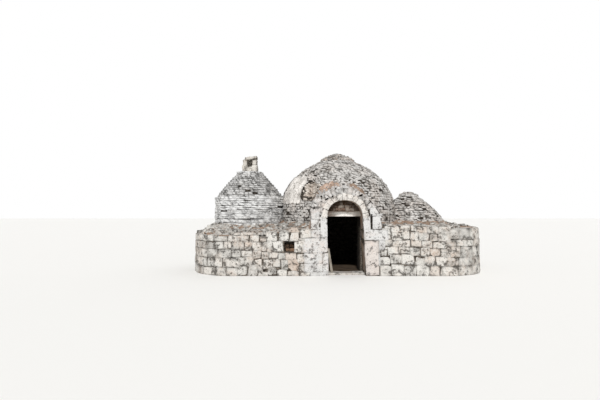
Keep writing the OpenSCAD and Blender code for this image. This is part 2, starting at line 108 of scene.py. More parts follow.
bm = bmesh.new()
bmesh.ops.create_grid(bm, x_segments=1, y_segments=1, size=150.0)
floor_mesh = bpy.data.meshes.new("studio_floor")
bm.to_mesh(floor_mesh)
bm.free()
floor = bpy.data.objects.new("studio_floor", floor_mesh)
scene.collection.objects.link(floor)
paint = bpy.data.materials.new("pale_studio_floor")
paint.use_nodes = True
paint.node_tree.nodes["Principled BSDF"].inputs["Base Color"].default_value = linear("#F4F3F0")
paint.node_tree.nodes["Principled BSDF"].inputs["Roughness"].default_value = 0.95
floor_mesh.materials.append(paint)


# Core and packing: loose stones and reddish earth fill the walls between their two faces and
# the joints behind every face stone. Its dull, dark colour is partly its own and partly painted
# shade, since light hardly reaches it, and it is painted darker still, as deeper shade, under the
# stones of the domes, the gable and the hearth.
def new_material(name):
    """An empty material, its nodes, and the place in the model that its patterns follow."""
    material = bpy.data.materials.new(name)
    material.use_nodes = True
    tree = material.node_tree
    tree.nodes.clear()
    return material, tree, add(tree, "TexCoord", out="Object")


def finish(tree, colour, layers, height, mm, strength=0.8, roughness=0.92):
    """A dull mineral surface. layers holds what lies over its first colour, each a share and a
    colour, and height, which goes from 0 to 1, is a bump as high as mm."""
    for share, over in layers:
        colour = add(tree, "Mix", {0: share, 6: colour, 7: over}, 2, data_type="RGBA")
    bump = add(tree, "Bump", {"Height": height, "Distance": mm / 1000.0, "Strength": strength})
    skin = add(tree, "BsdfPrincipled", {"Base Color": colour, "Roughness": roughness,
                                        "Specular IOR Level": 0.25, "Normal": bump})
    add(tree, "OutputMaterial", {"Surface": skin})


def masonry(name, one, other, joint, length_mm, height_mm):
    """Small coursed rubble as it shows inside and deep in the joints: cells longer than high."""
    material, tree, where = new_material(name)
    squeezed = add(tree, "Mapping", {"Vector": where, "Scale": (1.0, 1.0, length_mm / height_mm)})
    cells = {"Vector": squeezed, "Scale": 1000.0 / length_mm}
    edge = add(tree, "TexVoronoi", cells, feature="DISTANCE_TO_EDGE")
    cell = add(tree, "TexVoronoi", cells, "Color")
    # a noise of scale 500 / mm has lumps about mm across, here and below
    dust = add(tree, "TexNoise", {"Vector": where, "Scale": 500.0 / 60.0, "Detail": 6.0})
    finish(tree, one, ((add(tree, "RGBToBW", (cell,)), other),
                       (add(tree, "MapRange", (dust, 0.45, 0.75, 0.0, 0.5)), joint),
                       (add(tree, "MapRange", (edge, 0.02, 0.10, 1.0, 0.0)), joint)),
           add(tree, "MapRange", (edge, 0.02, 0.10)), 18.0)
    return material


def dress(node, material):
    """Gives a CAD node its material."""
    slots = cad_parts[node].data.materials
    slots.clear()
    slots.append(material)


packing = masonry("packed_rubble_and_earth", "#7E766C", "#5F584F", "#2E2924", 110.0, 70.0)
deep_shade_packing = masonry("packing_painted_darker_under_dome_stones", "#4C453D", "#3A342E", "#1C1815",
                       110.0, 70.0)
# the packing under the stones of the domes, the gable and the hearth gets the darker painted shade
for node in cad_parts:
    deeper_shade = "_dome_" in node or node in ("portal_gable", "hearth_drum", "hearth_cone")
    dress(node, deep_shade_packing if deeper_shade else packing)


# Room linings: the inner leaf of small flat limestone, laid in courses from the ground to the
# foot of the vaults, dull brown-black from the soot of the hearth.
lining = masonry("sooty_lining_stone", "#37322C", "#47413A", "#1B1815", 260.0, 120.0)
for node in ("main_room_wall_front_left", "main_room_wall_front_right", "main_room_wall_back_left",
             "main_room_wall_back_right", "hearth_room_wall", "side_room_wall", "inner_lintel"):
    dress(node, lining)


# Front wall: roughly squared limestone blocks, laid dry, each picked to fit its neighbours, with
# small stones packed between. Weathered nearly white, with grey lichen and some pinkish stones.
def limestone(name, pale, grey, lichen, earthy, growth=0.5, earth_share=0.5, rim_shade_and_dirt=0.75, stains_and_shade=None):
    """Weathered hard limestone, matt and pitted: a pale crust, greyer on some stones (tone up to
    0.7), pinkish on a few (tone above 0.75), peppered with dark lichen, and darkened at its rims
    by the joints, partly with dirt and partly with painted shade.
    stains_and_shade gives the colours that lie over all that, where there are any: real stains,
    and on the infill's stones the painted shade under the arch."""
    material, tree, where = new_material(name)
    tone = add(tree, "Attribute", out="Fac", attribute_name="tone")
    rim = add(tree, "Attribute", out="Fac", attribute_name="rim")
    broad, cloudy, fine, pits = [
        add(tree, "TexNoise", {"Vector": where, "Scale": 500.0 / mm, "Detail": detail,
                               "Roughness": rough})
        for mm, detail, rough in ((300, 3.0, 0.6), (110, 5.0, 0.6), (40, 6.0, 0.7), (14, 3.0, 0.6))]

    toned = add(tree, "MapRange", (tone, 0.0, 0.7, -0.1, 0.75))
    clean = add(tree, "MapRange", (tone, 0.74, 0.78, 0.0, -0.55))
    clouds = add(tree, "MapRange", (cloudy, 0.38, 0.62, -0.35, 0.45))
    clouds = add(tree, "Math", (clouds, clean), operation="ADD")
    greyed = add(tree, "Math", (toned, clouds), operation="ADD", use_clamp=True)

    patch = add(tree, "MapRange", (broad, 0.46, 0.60))
    crumbs = add(tree, "MapRange", (fine, 0.38, 0.60, 0.0, earth_share))
    pink = add(tree, "MapRange", (tone, 0.75, 1.0, 0.0, 0.6))
    reddened = add(tree, "Math", (patch, crumbs), operation="MULTIPLY")
    reddened = add(tree, "Math", (reddened, pink), operation="ADD", use_clamp=True)

    clouds = add(tree, "MapRange", (cloudy, 0.4, 0.6, -0.12, 0.12))
    grown = add(tree, "Math", (fine, clouds), operation="ADD")
    grown = add(tree, "MapRange", (grown, 0.66 - 0.14 * growth, 0.73 - 0.14 * growth, 0.0, 0.85))
    spots = add(tree, "MapRange", (pits, 0.58, 0.66, 0.0, 0.75))
    # painted shade and dirt: the stones' rims at the joints are darkened with the lichen colour
    rim_shade_and_dirt_share = add(tree, "MapRange", (rim, 0.55, 1.0, 0.0, rim_shade_and_dirt))
    uneven = add(tree, "MapRange", (cloudy, 0.35, 0.6, 0.4, 1.0))
    rim_shade_and_dirt_share = add(tree, "Math", (rim_shade_and_dirt_share, uneven), operation="MULTIPLY")

    layers = [(greyed, grey), (reddened, earthy)]
    layers += [(share, lichen) for share in (grown, spots, rim_shade_and_dirt_share)]
    layers += stains_and_shade(tree, where, cloudy) if stains_and_shade else []
    holes = add(tree, "MapRange", (pits, 0.55, 0.70, 0.0, 0.35))
    rough = add(tree, "Math", (fine, holes), operation="SUBTRACT", use_clamp=True)
    finish(tree, pale, layers, rough, 12.0)
    return material


def pile():
    """An empty heap of stones that keeps a tone for each, and where its arrises are."""
    bm = bmesh.new()
    bm.verts.layers.float.new("tone")
    bm.verts.layers.float.new("rim")
    return bm


def stone(bm, at, along, up, wide, high, deep, rng, slack=0.10, tone=None):
    """Adds a stone. at is the middle of its face, in which along and up lie. slack is how far its
    corners stray, as a share of its least side."""
    out = along.cross(up)
    place = Matrix.Translation(at - out * deep / 2) @ Matrix(
        (along * wide, -out * deep, up * high)).transposed().to_4x4()
    tone = rng.random() * 0.85 if tone is None else tone
    layer = bm.verts.layers.float["tone"]
    play = slack * min(wide, high, deep)
    for v in bmesh.ops.create_cube(bm, size=1.0, matrix=place)["verts"]:
        v[layer] = tone
        v.co += (along * rng.uniform(-1.2, 1.2) + up * rng.uniform(-1.0, 1.0)
                 + out * rng.uniform(-0.4, 0.6)) * play


noise.seed_set(1)  # so that the stones wear the same way each time


def weather(bm, cuts, rounding, wear_mm, grain_mm):
    """Divides the stones' faces, rounds their arrises and wears them uneven."""
    bmesh.ops.subdivide_edges(bm, edges=bm.edges[:], cuts=cuts, use_grid_fill=True)
    layer, rim = bm.verts.layers.float["tone"], bm.verts.layers.float["rim"]
    bm.normal_update()
    for v in bm.verts:
        normals = [f.normal for f in v.link_faces]
        v[rim] = float(any(n.dot(normals[0]) < 0.7 for n in normals))
    bmesh.ops.smooth_vert(bm, verts=bm.verts, factor=rounding, use_axis_x=True,
                          use_axis_y=True, use_axis_z=True)
    for v in bm.verts:
        own = Vector((v[layer] * 57.0, 0.0, 0.0))
        v.co += noise.noise_vector(v.co * (1000.0 / grain_mm) + own) * (wear_mm / 1000.0)
        v.co += noise.noise_vector(v.co * (2500.0 / grain_mm) + own) * (wear_mm / 2500.0)


def set_piece(name, bm, material, sharp_deg=38.0):
    """Puts a finished piece in its place on the house, on which it rides."""
    for v in bm.verts:
        v.co = house + Vector((v.co.x, v.co.y, max(v.co.z, 0.0)))
    bmesh.ops.recalc_face_normals(bm, faces=bm.faces)
    mesh = bpy.data.meshes.new(name)
    bm.to_mesh(mesh)
    bm.free()
    mesh.shade_smooth()
    mesh.set_sharp_from_angle(angle=radians(sharp_deg))
    mesh.materials.append(material)
    piece = bpy.data.objects.new(name, mesh)
    scene.collection.objects.link(piece)
    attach(piece, "root")
    return piece


RIGHT, BACK, UP = Vector((1, 0, 0)), Vector((0, 1, 0)), Vector((0, 0, 1))
wall_stone = limestone("weathered_wall_limestone", "#DDDAD4", "#A6A39E", "#57544F", "#C2A690",
                       growth=0.70, earth_share=0.42, rim_shade_and_dirt=0.50)

# left edge, right edge, bottom and top in metres from the door's centre line and the ground,
# and the tone: 0 white, 0.6 grey, 1 pinkish
left_blocks = [
    (-3.40, -2.88, 1.04, 1.20, 0.5), (-2.86, -2.57, 1.02, 1.21, 0.2), (-2.55, -2.37, 1.02, 1.19, 0.85),
    (-2.36, -2.02, 1.05, 1.31, 0.0), (-1.99, -1.66, 1.05, 1.31, 0.2), (-1.64, -1.37, 1.05, 1.30, 0.1),
    (-1.69, -1.33, 1.30, 1.45, 0.9), (-1.35, -1.01, 1.13, 1.39, 0.1), (-3.40, -3.02, 0.77, 1.03, 0.5),
    (-3.00, -2.78, 0.87, 1.01, 0.85), (-3.01, -2.79, 0.77, 0.86, 0.5), (-2.77, -2.51, 0.76, 1.01, 0.2),
    (-2.50, -2.36, 0.88, 1.01, 0.4), (-2.35, -2.17, 0.84, 1.04, 0.4), (-2.50, -2.36, 0.74, 0.87, 0.3),
    (-2.34, -2.17, 0.70, 0.83, 0.5), (-2.16, -1.84, 0.71, 1.04, 0.0), (-1.51, -1.28, 0.70, 1.06, 0.0),
    (-3.38, -3.11, 0.56, 0.76, 0.5), (-3.10, -2.78, 0.58, 0.76, 0.3), (-2.77, -2.52, 0.52, 0.75, 0.4),
    (-2.51, -2.27, 0.52, 0.72, 0.5), (-2.26, -2.02, 0.53, 0.70, 0.2), (-2.01, -1.79, 0.50, 0.70, 0.5),
    (-1.78, -1.45, 0.50, 0.69, 0.9), (-1.44, -1.22, 0.39, 0.69, 0.2), (-3.36, -3.01, 0.29, 0.55, 0.4),
    (-3.00, -2.75, 0.30, 0.57, 0.5), (-2.74, -2.48, 0.33, 0.51, 0.2), (-2.47, -2.15, 0.13, 0.51, 0.1),
    (-2.14, -1.93, 0.27, 0.52, 0.5), (-1.92, -1.72, 0.20, 0.49, 0.4), (-1.71, -1.36, 0.16, 0.49, 0.95),
    (-1.35, -1.22, 0.11, 0.38, 0.4), (-3.34, -2.92, 0.00, 0.28, 0.3), (-2.91, -2.61, 0.00, 0.29, 0.5),
    (-2.60, -2.48, 0.13, 0.32, 0.5), (-2.60, -2.30, 0.00, 0.12, 0.4), (-2.29, -2.04, 0.00, 0.26, 0.5),
    (-2.03, -1.73, 0.00, 0.19, 0.2), (-1.72, -1.37, 0.00, 0.15, 0.5), (-1.36, -1.05, 0.00, 0.10, 0.3),
]
right_blocks = [
    (1.13, 1.37, 1.12, 1.43, 0.2), (1.38, 1.63, 1.27, 1.49, 0.1), (1.64, 1.94, 1.37, 1.50, 0.2),
    (1.95, 2.14, 1.33, 1.51, 0.3), (2.15, 2.44, 1.29, 1.48, 0.85), (2.45, 2.78, 1.26, 1.49, 0.4),
    (2.79, 3.08, 1.25, 1.48, 0.3), (1.41, 1.68, 1.07, 1.27, 0.1), (1.69, 1.94, 1.07, 1.36, 0.0),
    (1.95, 2.18, 1.07, 1.32, 0.2), (2.19, 2.51, 1.05, 1.28, 0.4), (2.52, 2.76, 1.04, 1.25, 0.5),
    (2.77, 3.08, 1.02, 1.24, 0.3), (1.20, 1.41, 0.88, 1.10, 0.4), (1.42, 1.71, 0.88, 1.06, 0.2),
    (1.72, 1.96, 0.86, 1.06, 0.0), (1.97, 2.27, 0.87, 1.06, 0.85), (2.28, 2.61, 0.84, 1.04, 0.4),
    (2.62, 3.08, 0.82, 1.01, 0.2), (1.05, 1.25, 0.60, 0.78, 0.5), (1.26, 1.59, 0.66, 0.87, 0.1),
    (1.60, 1.92, 0.66, 0.86, 0.3), (1.93, 2.25, 0.62, 0.86, 0.4), (2.26, 2.53, 0.60, 0.84, 0.2),
    (2.54, 2.83, 0.59, 0.82, 0.85), (2.84, 3.08, 0.56, 0.81, 0.4), (1.04, 1.34, 0.32, 0.60, 0.2),
    (1.35, 1.67, 0.37, 0.65, 0.4), (1.68, 2.05, 0.34, 0.65, 0.1), (2.06, 2.35, 0.32, 0.61, 0.4),
    (2.36, 2.69, 0.30, 0.59, 0.3), (2.70, 3.08, 0.28, 0.56, 0.1), (1.04, 1.35, 0.00, 0.31, 0.4),
    (1.36, 1.77, 0.00, 0.36, 0.2), (1.78, 2.12, 0.00, 0.33, 0.4), (2.13, 2.51, 0.00, 0.31, 0.3),
    (2.52, 2.82, 0.00, 0.29, 0.85), (2.83, 3.08, 0.00, 0.27, 0.2),
]
niche = (-1.83, -1.51, 0.70, 1.05, 0.0)
joint_w = 0.012  # width of a joint


def face_wall(bm, blocks, deep, proud, rng, slack=0.09):
    """Blocks set in the front wall by their edges, each standing a little in or out, and larger
    by what wear will take off."""
    for left, right, low, top, tone in blocks:
        at = Vector(((left + right) / 2, -rng.uniform(0.4, 1.3) * proud, (low + top) / 2))
        stone(bm, at, RIGHT, UP, right - left + joint_w, top - low + joint_w, deep, rng, slack, tone)


def chink(bm, blocks, left, right, top, rng):
    """Small stones packed wherever the blocks leave more than a joint. top(x) is the height of
    the wall over a place along it."""
    z = 0.0
    while z < 2.0:
        high = rng.uniform(0.045, 0.075)
        x = left + rng.uniform(0.0, 0.05)
        while x < right:
            wide = rng.uniform(0.06, 0.12)
            mid = Vector((x + wide / 2, rng.uniform(-0.020, -0.002), z + high / 2))
            taken = any(b[0] - joint_w < mid.x < b[1] + joint_w
                        and b[2] - joint_w < mid.z < b[3] + joint_w for b in blocks)
            if not taken and mid.z + 0.02 < top(mid.x):
                stone(bm, mid, RIGHT, UP, wide * 1.15, high * 1.2, 0.16, rng, 0.16,
                      rng.uniform(0.2, 0.75))
            x += wide
        z += high


rng = random.Random(3)
bm = pile()
face_wall(bm, left_blocks, 0.40, 0.022, rng)
chink(bm, left_blocks + [niche], -3.34, -1.27,
      lambda x: 1.29 if x < -1.37 else 1.38, rng)
weather(bm, 3, 0.35, 13.0, 130.0)
set_piece("front_wall_left_blocks", bm, wall_stone)

# The stones that close the niche are of the same limestone, brown with damp and soot.
niche_stone = limestone("damp_niche_limestone", "#8F7967", "#81766B", "#3A332C", "#8C6A4F",
                        growth=0.55, earth_share=0.60, rim_shade_and_dirt=0.85)
rng = random.Random(31)
bm = pile()
for x, z, wide, high, y, tone in ((-1.590, 0.765, 0.17, 0.11, 0.22, 1.0),
                                  (-1.725, 0.755, 0.13, 0.09, 0.20, 0.95),
                                  (-1.600, 0.870, 0.14, 0.09, 0.27, 0.9),
                                  (-1.745, 0.870, 0.14, 0.13, 0.25, 0.3)):
    stone(bm, Vector((x, y, z)), RIGHT, UP, wide, high, 0.36 - y, rng, 0.12, tone)
weather(bm, 3, 0.35, 13.0, 130.0)
set_piece("niche_back_stones", bm, niche_stone)

rng = random.Random(4)
bm = pile()
face_wall(bm, right_blocks, 0.40, 0.022, rng)
chink(bm, right_blocks, 1.15, 3.08, lambda x: 1.49, rng)
weather(bm, 3, 0.35, 13.0, 130.0)
set_piece("front_wall_right_blocks", bm, wall_stone)


# Portal: taller dressed blocks carry the arch on both sides of the doorway. They run through
# the pier, so their ends are its jambs, browned by damp earth towards the inside.
def jamb_stain(tree, where, cloudy):
    """Brown damp that begins a hand's width inside the wall's face."""
    depth = add(tree, "SeparateXYZ", (where,), "Y")
    inside = add(tree, "MapRange", (depth, house.y + 0.02, house.y + 0.14))
    patchy = add(tree, "MapRange", (cloudy, 0.35, 0.6, 0.65, 1.0))
    return [(add(tree, "Math", (inside, patchy), operation="MULTIPLY"), "#A48D7B")]


spring_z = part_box("arch_ring")[0].z
portal_stone = limestone("dressed_portal_limestone", "#D9D8D6", "#B6B4B2", "#666360", "#DCC5B6",
                         growth=0.58, earth_share=0.38, rim_shade_and_dirt=0.28, stains_and_shade=jamb_stain)
left_jamb = [
    (-0.730, -0.520, 1.145, 1.700, 0.0), (-1.020, -0.775, 1.385, 1.690, 0.2),
    (-1.005, -0.765, 1.700, 1.940, 0.4), (-1.010, -0.740, 1.145, 1.375, 0.25),
    (-1.265, -0.500, 0.695, 1.130, 0.05), (-1.220, -0.665, 0.385, 0.685, 0.1),
    (-0.660, -0.485, 0.125, 0.685, 0.0), (-1.220, -0.935, 0.115, 0.375, 0.4),
    (-0.930, -0.670, 0.120, 0.375, 0.3), (-1.040, -0.780, 0.000, 0.110, 0.5),
    (-0.775, -0.480, 0.000, 0.115, 0.4),
]
right_jamb = [
    (0.560, 0.760, 1.385, 1.785, 0.05), (0.825, 1.115, 1.395, 1.775, 0.1),
    (0.745, 1.045, 1.790, 2.065, 0.25), (0.560, 1.300, 1.065, 1.378, 0.0),
    (0.600, 1.010, 0.010, 1.055, 0.88), (1.012, 1.195, 0.785, 1.058, 0.4),
    (1.010, 1.040, 0.300, 0.780, 0.5),
]


def left_reveal(z):
    """Where the left jamb stands at a height, leaning out a little with age."""
    return -0.492 - 0.04 * z / spring_z


def right_reveal(z):
    """The same for the right jamb, whose foot stands further back."""
    return 0.614 - 0.08 * z / spring_z


rng = random.Random(7)
bm = pile()
face_wall(bm, left_jamb, 0.60, 0.026, rng, 0.03)
for v in bm.verts:
    if v.co.x > -0.60:
        v.co.x = left_reveal(v.co.z) + rng.uniform(-0.006, 0.002)
chink(bm, left_jamb + left_blocks, -1.27, -0.56,
      lambda x: 1.38 if x < -0.98 else 2.02 if x < -0.70 else 1.88, rng)
weather(bm, 4, 0.28, 9.0, 150.0)
set_piece("left_jamb_blocks", bm, portal_stone)

rng = random.Random(8)
bm = pile()
face_wall(bm, right_jamb, 0.60, 0.026, rng, 0.03)
for v in bm.verts:
    if v.co.x < 0.68:
        v.co.x = right_reveal(v.co.z) + rng.uniform(-0.002, 0.006)
    if v.co.z > 1.39:
        v.co.x = min(v.co.x, 1.115 - 0.50 * max(v.co.z - 1.66, 0.0))
crack = (0.765, 0.822, 1.45, 1.80, 0.0)  # the joint beside the upper jamb block gapes
chink(bm, right_jamb + right_blocks + [crack], 0.75, 1.30,
      lambda x: 2.05 if x < 1.10 else 1.45, rng)
weather(bm, 4, 0.28, 9.0, 150.0)
set_piece("right_jamb_blocks", bm, portal_stone)


# Arch: wedge-shaped stones set on edge over the doorway, flush with the wall and as deep as the
# recess. Each is built flat in (angle, depth, radius) and then bent round the springing's centre.
def clamp(share):
    return min(max(share, 0.0), 1.0)


arch_r = (door_hi.x - door_lo.x) / 2
ring_t = 0.17
recess = door_hi.y - door_lo.y
joints_deg = [0, 13, 39, 55, 69, 84, 97, 111, 126, 140, 156, 180]

arch_stone = limestone("pale_arch_limestone", "#E1DDD7", "#C3BDB6", "#6E6964", "#DCC5B6",
                       growth=0.50, earth_share=0.34, rim_shade_and_dirt=0.22, stains_and_shade=jamb_stain)
rng = random.Random(5)
bm = pile()
for a0, a1 in zip(joints_deg, joints_deg[1:]):
    tall = ring_t + (rng.uniform(0.02, 0.05) if 30 < a0 < 150 else rng.uniform(-0.01, 0.02))
    front = -rng.uniform(0.018, 0.032)
    centre = Vector((radians(a0 + a1) / 2, front, arch_r - ring_t - 0.005 + tall / 2))
    stone(bm, centre, RIGHT, UP, radians(a1 - a0 - 0.5), tall, recess - front, rng, 0.015,
          rng.uniform(0.0, 0.35))
bmesh.ops.subdivide_edges(bm, edges=bm.edges[:], cuts=3, use_grid_fill=True)
for v in bm.verts:
    angle, radius = v.co.x, v.co.z
    inner = 1.0 - clamp((radius - arch_r + ring_t) / ring_t)
    radius += 0.025 * inner * sin(2.0 * angle) ** 2  # the haunches are fuller than a half circle
    v.co = Vector((radius * cos(angle), v.co.y, spring_z + radius * sin(angle)))
weather(bm, 0, 0.2, 7.0, 120.0)
arch = set_piece("arch_voussoirs", bm, arch_stone)
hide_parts("arch_ring")


# Lintel and tympanum: a single long stone spans the doorway behind the arch, and the half-moon
# over it is closed with small stones bedded in brown earth mortar.
def lintel_stain(tree, where, cloudy):
    """Brown wash over the lintel's left, grey over its right, which leave its middle clean."""
    parts = add(tree, "SeparateXYZ", (where,)).node.outputs
    high = add(tree, "MapRange", (parts["Z"], spring_z + 0.16, spring_z + 0.20))
    left = add(tree, "MapRange", (parts["X"], house.x - 0.16, house.x - 0.45))
    right = add(tree, "MapRange", (parts["X"], house.x + 0.22, house.x + 0.45, 0.0, 0.7))
    patchy = add(tree, "MapRange", (cloudy, 0.3, 0.65, 0.6, 1.0))
    brown = add(tree, "Math", (high, left), operation="ADD", use_clamp=True)
    brown = add(tree, "Math", (brown, patchy), operation="MULTIPLY")
    return [(brown, "#8F7766"), (right, "#A8A096")]


def block_from(bm, node, rng, slack, tone, grow=0.0):
    """A stone in the box of a CAD node, or grow larger each way."""
    lo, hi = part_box(node)
    size = hi - lo + Vector((grow, grow, grow)) * 2
    middle = (lo + hi) / 2 - house
    stone(bm, middle - BACK * size.y / 2, RIGHT, UP, size.x, size.z, size.y, rng, slack, tone)


rng = random.Random(6)
bm = pile()
block_from(bm, "door_lintel", rng, 0.05, 0.1, 0.004)
for v in bm.verts:
    v.co.z = max(v.co.z, spring_z + 0.046)
weather(bm, 9, 0.4, 9.0, 170.0)
lintel_stone = limestone("stained_lintel_limestone", "#FFFDF8", "#EFEAE2", "#A9A39A", "#CDB09B",
                         growth=0.10, earth_share=0.2, rim_shade_and_dirt=0.1, stains_and_shade=lintel_stain)
lintel = set_piece("door_lintel_stone", bm, lintel_stone)
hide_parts("door_lintel")


def painted_arch_shade(tree, where, cloudy):
    """Painted shade: dark brown over the infill's rim, just under the arch, where the arch's shadow
    falls.
    """
    flat = add(tree, "Mapping", {"Vector": where, "Location": (-house.x, 0.0, -spring_z),
                                 "Scale": (1.0, 0.0, 1.0)})
    far = add(tree, "VectorMath", (flat,), "Value", operation="LENGTH")
    return [(add(tree, "MapRange", (far, 0.36, 0.47, 0.0, 0.85)), "#332619")]


# The mortar is earth with a little lime: crumbly, matt and mid brown, with painted shade over its rim
# under the arch.
mortar, tree, where = new_material("brown_earth_mortar")
lumps = add(tree, "TexNoise", {"Vector": where, "Scale": 500.0 / 40.0, "Detail": 6.0})
share = add(tree, "MapRange", (lumps, 0.35, 0.65))
finish(tree, "#4B3B30", [(share, "#7D6756")] + painted_arch_shade(tree, where, lumps), lumps, 20.0)
dress("arch_infill", mortar)

# the infill's stones carry the same painted shade under the arch
tympanum_stone = limestone("earthy_infill_stone", "#D6CBBF", "#67594D", "#453B33", "#A27C66",
                           growth=0.42, earth_share=0.4, rim_shade_and_dirt=0.35, stains_and_shade=painted_arch_shade)
infill_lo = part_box("arch_infill")[0] - house
rng = random.Random(9)
bm = pile()
z = infill_lo.z + 0.01
while z < spring_z + arch_r - ring_t - 0.02:
    high = rng.uniform(0.07, 0.12)
    half = sqrt(max((arch_r - ring_t) ** 2 - (z + high / 2 - spring_z) ** 2, 0.0))
    x = -half
    while x < half - 0.03:
        wide = rng.uniform(0.09, 0.22)
        at = Vector((x + wide / 2, infill_lo.y - rng.uniform(0.0, 0.03), z + high / 2))
        # painted light and shade: paler stones in the middle, where light falls on the infill, greyer
        # ones at the sides, which lie in shade
        tone = rng.uniform(0.45, 0.74) if x < -0.26 or x > 0.24 else rng.uniform(0.0, 0.3)
        if -0.30 < x < 0.0 and z < 2.0:
            tone = 0.95
        stone(bm, at, RIGHT, UP, wide * 0.98, high * rng.uniform(0.85, 1.05), 0.08, rng, 0.16, tone)
        x += wide
    z += high
weather(bm, 2, 0.4, 9.0, 60.0)
set_piece("tympanum_stones", bm, tympanum_stone)


# Threshold: one slab between the jambs, worn hollow in the middle by feet.
rng = random.Random(10)
bm = pile()
block_from(bm, "threshold", rng, 0.04, 0.5)
weather(bm, 11, 0.4, 6.0, 120.0)
for v in bm.verts:
    if v.co.z > 0.04:
        v.co.z -= 0.014 * exp(-(v.co.x / 0.25) ** 2)
threshold = set_piece("threshold_slab", bm, wall_stone)
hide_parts("threshold")


# Old door stile: a sawn softwood board left from the door's frame, silvered by weather, with
# raised grain that runs along it.
wood, tree, where = new_material("silvered_softwood")
stretched = add(tree, "Mapping", {"Vector": where, "Rotation": (0.0, radians(9.0), 0.0),
                                  "Scale": (1.0, 1.0, 0.06)})
grain = add(tree, "TexNoise", {"Vector": stretched, "Scale": 500.0 / 6.0, "Detail": 4.0})
patches = add(tree, "TexNoise", {"Vector": where, "Scale": 500.0 / 120.0, "Detail": 6.0})
finish(tree, "#8A8378", ((add(tree, "MapRange", (grain, 0.35, 0.65)), "#BDB6AA"),
                         (add(tree, "MapRange", (patches, 0.45, 0.7, 0.0, 0.5)), "#6B6053")),
       grain, 3.0, roughness=0.8)
dress("old_door_stile", wood)


# Side and back walls: the same dry blocks, laid to a rounded plan that follows each room. Their
# top course is a coping as deep as the outer leaf.
main_lo, main_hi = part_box("main_dome_lower")
main_foot = (main_hi.x - main_lo.x) / 2
main_at = Vector(((main_hi.x + main_lo.x) / 2 - house.x, main_hi.y - main_foot - house.y, 0.0))
slab_lo, slab_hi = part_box("hearth_top_slab")
hearth_at = (slab_lo + slab_hi) / 2 - house
hearth_at.z = 0.0
hearth_foot = hearth_at.x - (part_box("hearth_drum")[0].x - house.x)
side_foot = 1.30
side_at = Vector((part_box("side_dome_lower")[1].x - house.x - side_foot, 3.20, 0.0))
rooms = ((main_at, main_foot), (hearth_at, hearth_foot), (side_at, side_foot))  # middle, radius
terrace_z = main_lo.z
ledge = 0.45  # from a dome's foot to the face of the wall round it
leaf = 0.42  # thickness of the outer leaf
plan_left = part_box("side_wall_left")[0].x - house.x
plan_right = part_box("side_wall_right")[1].x - house.x
corner_r = 1.45
left_corner = Vector((plan_left + corner_r, corner_r, 0))
right_corner = Vector((plan_right - corner_r, corner_r, 0))
corner_top, hearth_side_top, wall_top = 1.18, 1.28, 1.40


def near(p, centre):
    """Distance on the plan."""
    return hypot(p.x - centre.x, p.y - centre.y)


def lay_courses(bm, run, length, height, rng, beside=None):
    """Courses of blocks along a run, as far as the wall round the room beside it. run(s) gives
    a place on the wall's face and its way out."""
    z = 0.0
    while z < height - 0.08:
        high = rng.uniform(0.18, 0.33)
        if height - z - high < 0.15:
            high = height - z
        coping = z + high > height - 0.01
        s = -rng.uniform(0.0, 0.2)
        while s < length:
            wide = rng.uniform(0.24, 0.55)
            spot, out = run(s + wide / 2)
            rise = rng.uniform(0.015, 0.05) if coping else 0.0
            at = spot + UP * (z + (high + rise) / 2) + out * rng.uniform(0.008, 0.032)
            if not beside or near(at, beside[0]) >= beside[1] + ledge - 0.10:
                stone(bm, at, UP.cross(out), UP, wide + 0.006, high + 0.004 + rise,
                      leaf + 0.03 if coping else 0.30, rng, 0.07)
            s += wide
        z += high


def round_wall(bm, centre, radius, start_deg, turn_deg, height, rng, beside=None):
    """Courses round a centre, anticlockwise from start_deg."""
    def run(s):
        a = radians(start_deg) + s / radius
        out = Vector((cos(a), sin(a), 0.0))
        return centre + out * radius, out
    lay_courses(bm, run, radius * radians(turn_deg), height, rng, beside)


rng = random.Random(12)
bm = pile()
round_wall(bm, left_corner, corner_r, 180.0, 86.05, corner_top, rng)
lay_courses(bm, lambda s: (Vector((plan_left, corner_r + s, 0)), -RIGHT),
            hearth_at.y - corner_r, hearth_side_top, rng)
round_wall(bm, hearth_at, hearth_foot + ledge, 120.0, 60.0, hearth_side_top, rng)
round_wall(bm, hearth_at, hearth_foot + ledge, 55.0, 65.0, wall_top, rng, rooms[0])
round_wall(bm, main_at, main_foot + ledge, 100.0, 60.0, wall_top, rng, rooms[1])
weather(bm, 2, 0.36, 14.0, 130.0)
set_piece("left_and_back_wall_blocks", bm, wall_stone)

rng = random.Random(13)
bm = pile()
round_wall(bm, main_at, main_foot + ledge, 45.0, 55.0, wall_top, rng, rooms[2])
round_wall(bm, side_at, side_foot + ledge, 0.0, 130.0, wall_top, rng, rooms[0])
lay_courses(bm, lambda s: (Vector((plan_right, corner_r + s, 0)), RIGHT),
            side_at.y - corner_r, wall_top, rng)
round_wall(bm, right_corner, corner_r, -90.0, 90.0, wall_top, rng)
weather(bm, 2, 0.36, 14.0, 130.0)
set_piece("right_and_back_wall_blocks", bm, wall_stone)


# Terrace: red earth and small stones lie on the core between the outer leaf and the domes,
# washed down behind the low front wall on the left and heaped against the foot of each dome.
cone_z, cone_rings, ring_h = 2.42, 11, 0.86 / 11  # where the cone starts, and its rings
gable_d = 1.25  # how far the gable runs back
low_terrace_z = 1.28  # the core behind the low front wall on the left
main_top_z, hearth_top_z = 3.80, 3.34  # tops of the main dome and of the cone's slab


def main_radius(z):
    """The main dome's radius at a height, on the curve that its solids follow."""
    return main_foot * max(1.0 - (max(z - terrace_z, 0.0) / 2.46) ** 3, 0.0) ** 0.77


def hearth_radius(z):
    """The drum is upright, and each ring of the cone stands back on the one below."""
    ring = min(int((z - cone_z) / ring_h), cone_rings - 1)
    return hearth_foot if z < cone_z else 0.42 + 0.72 * (1.0 - ((ring + 0.4) / cone_rings) ** 1.15)


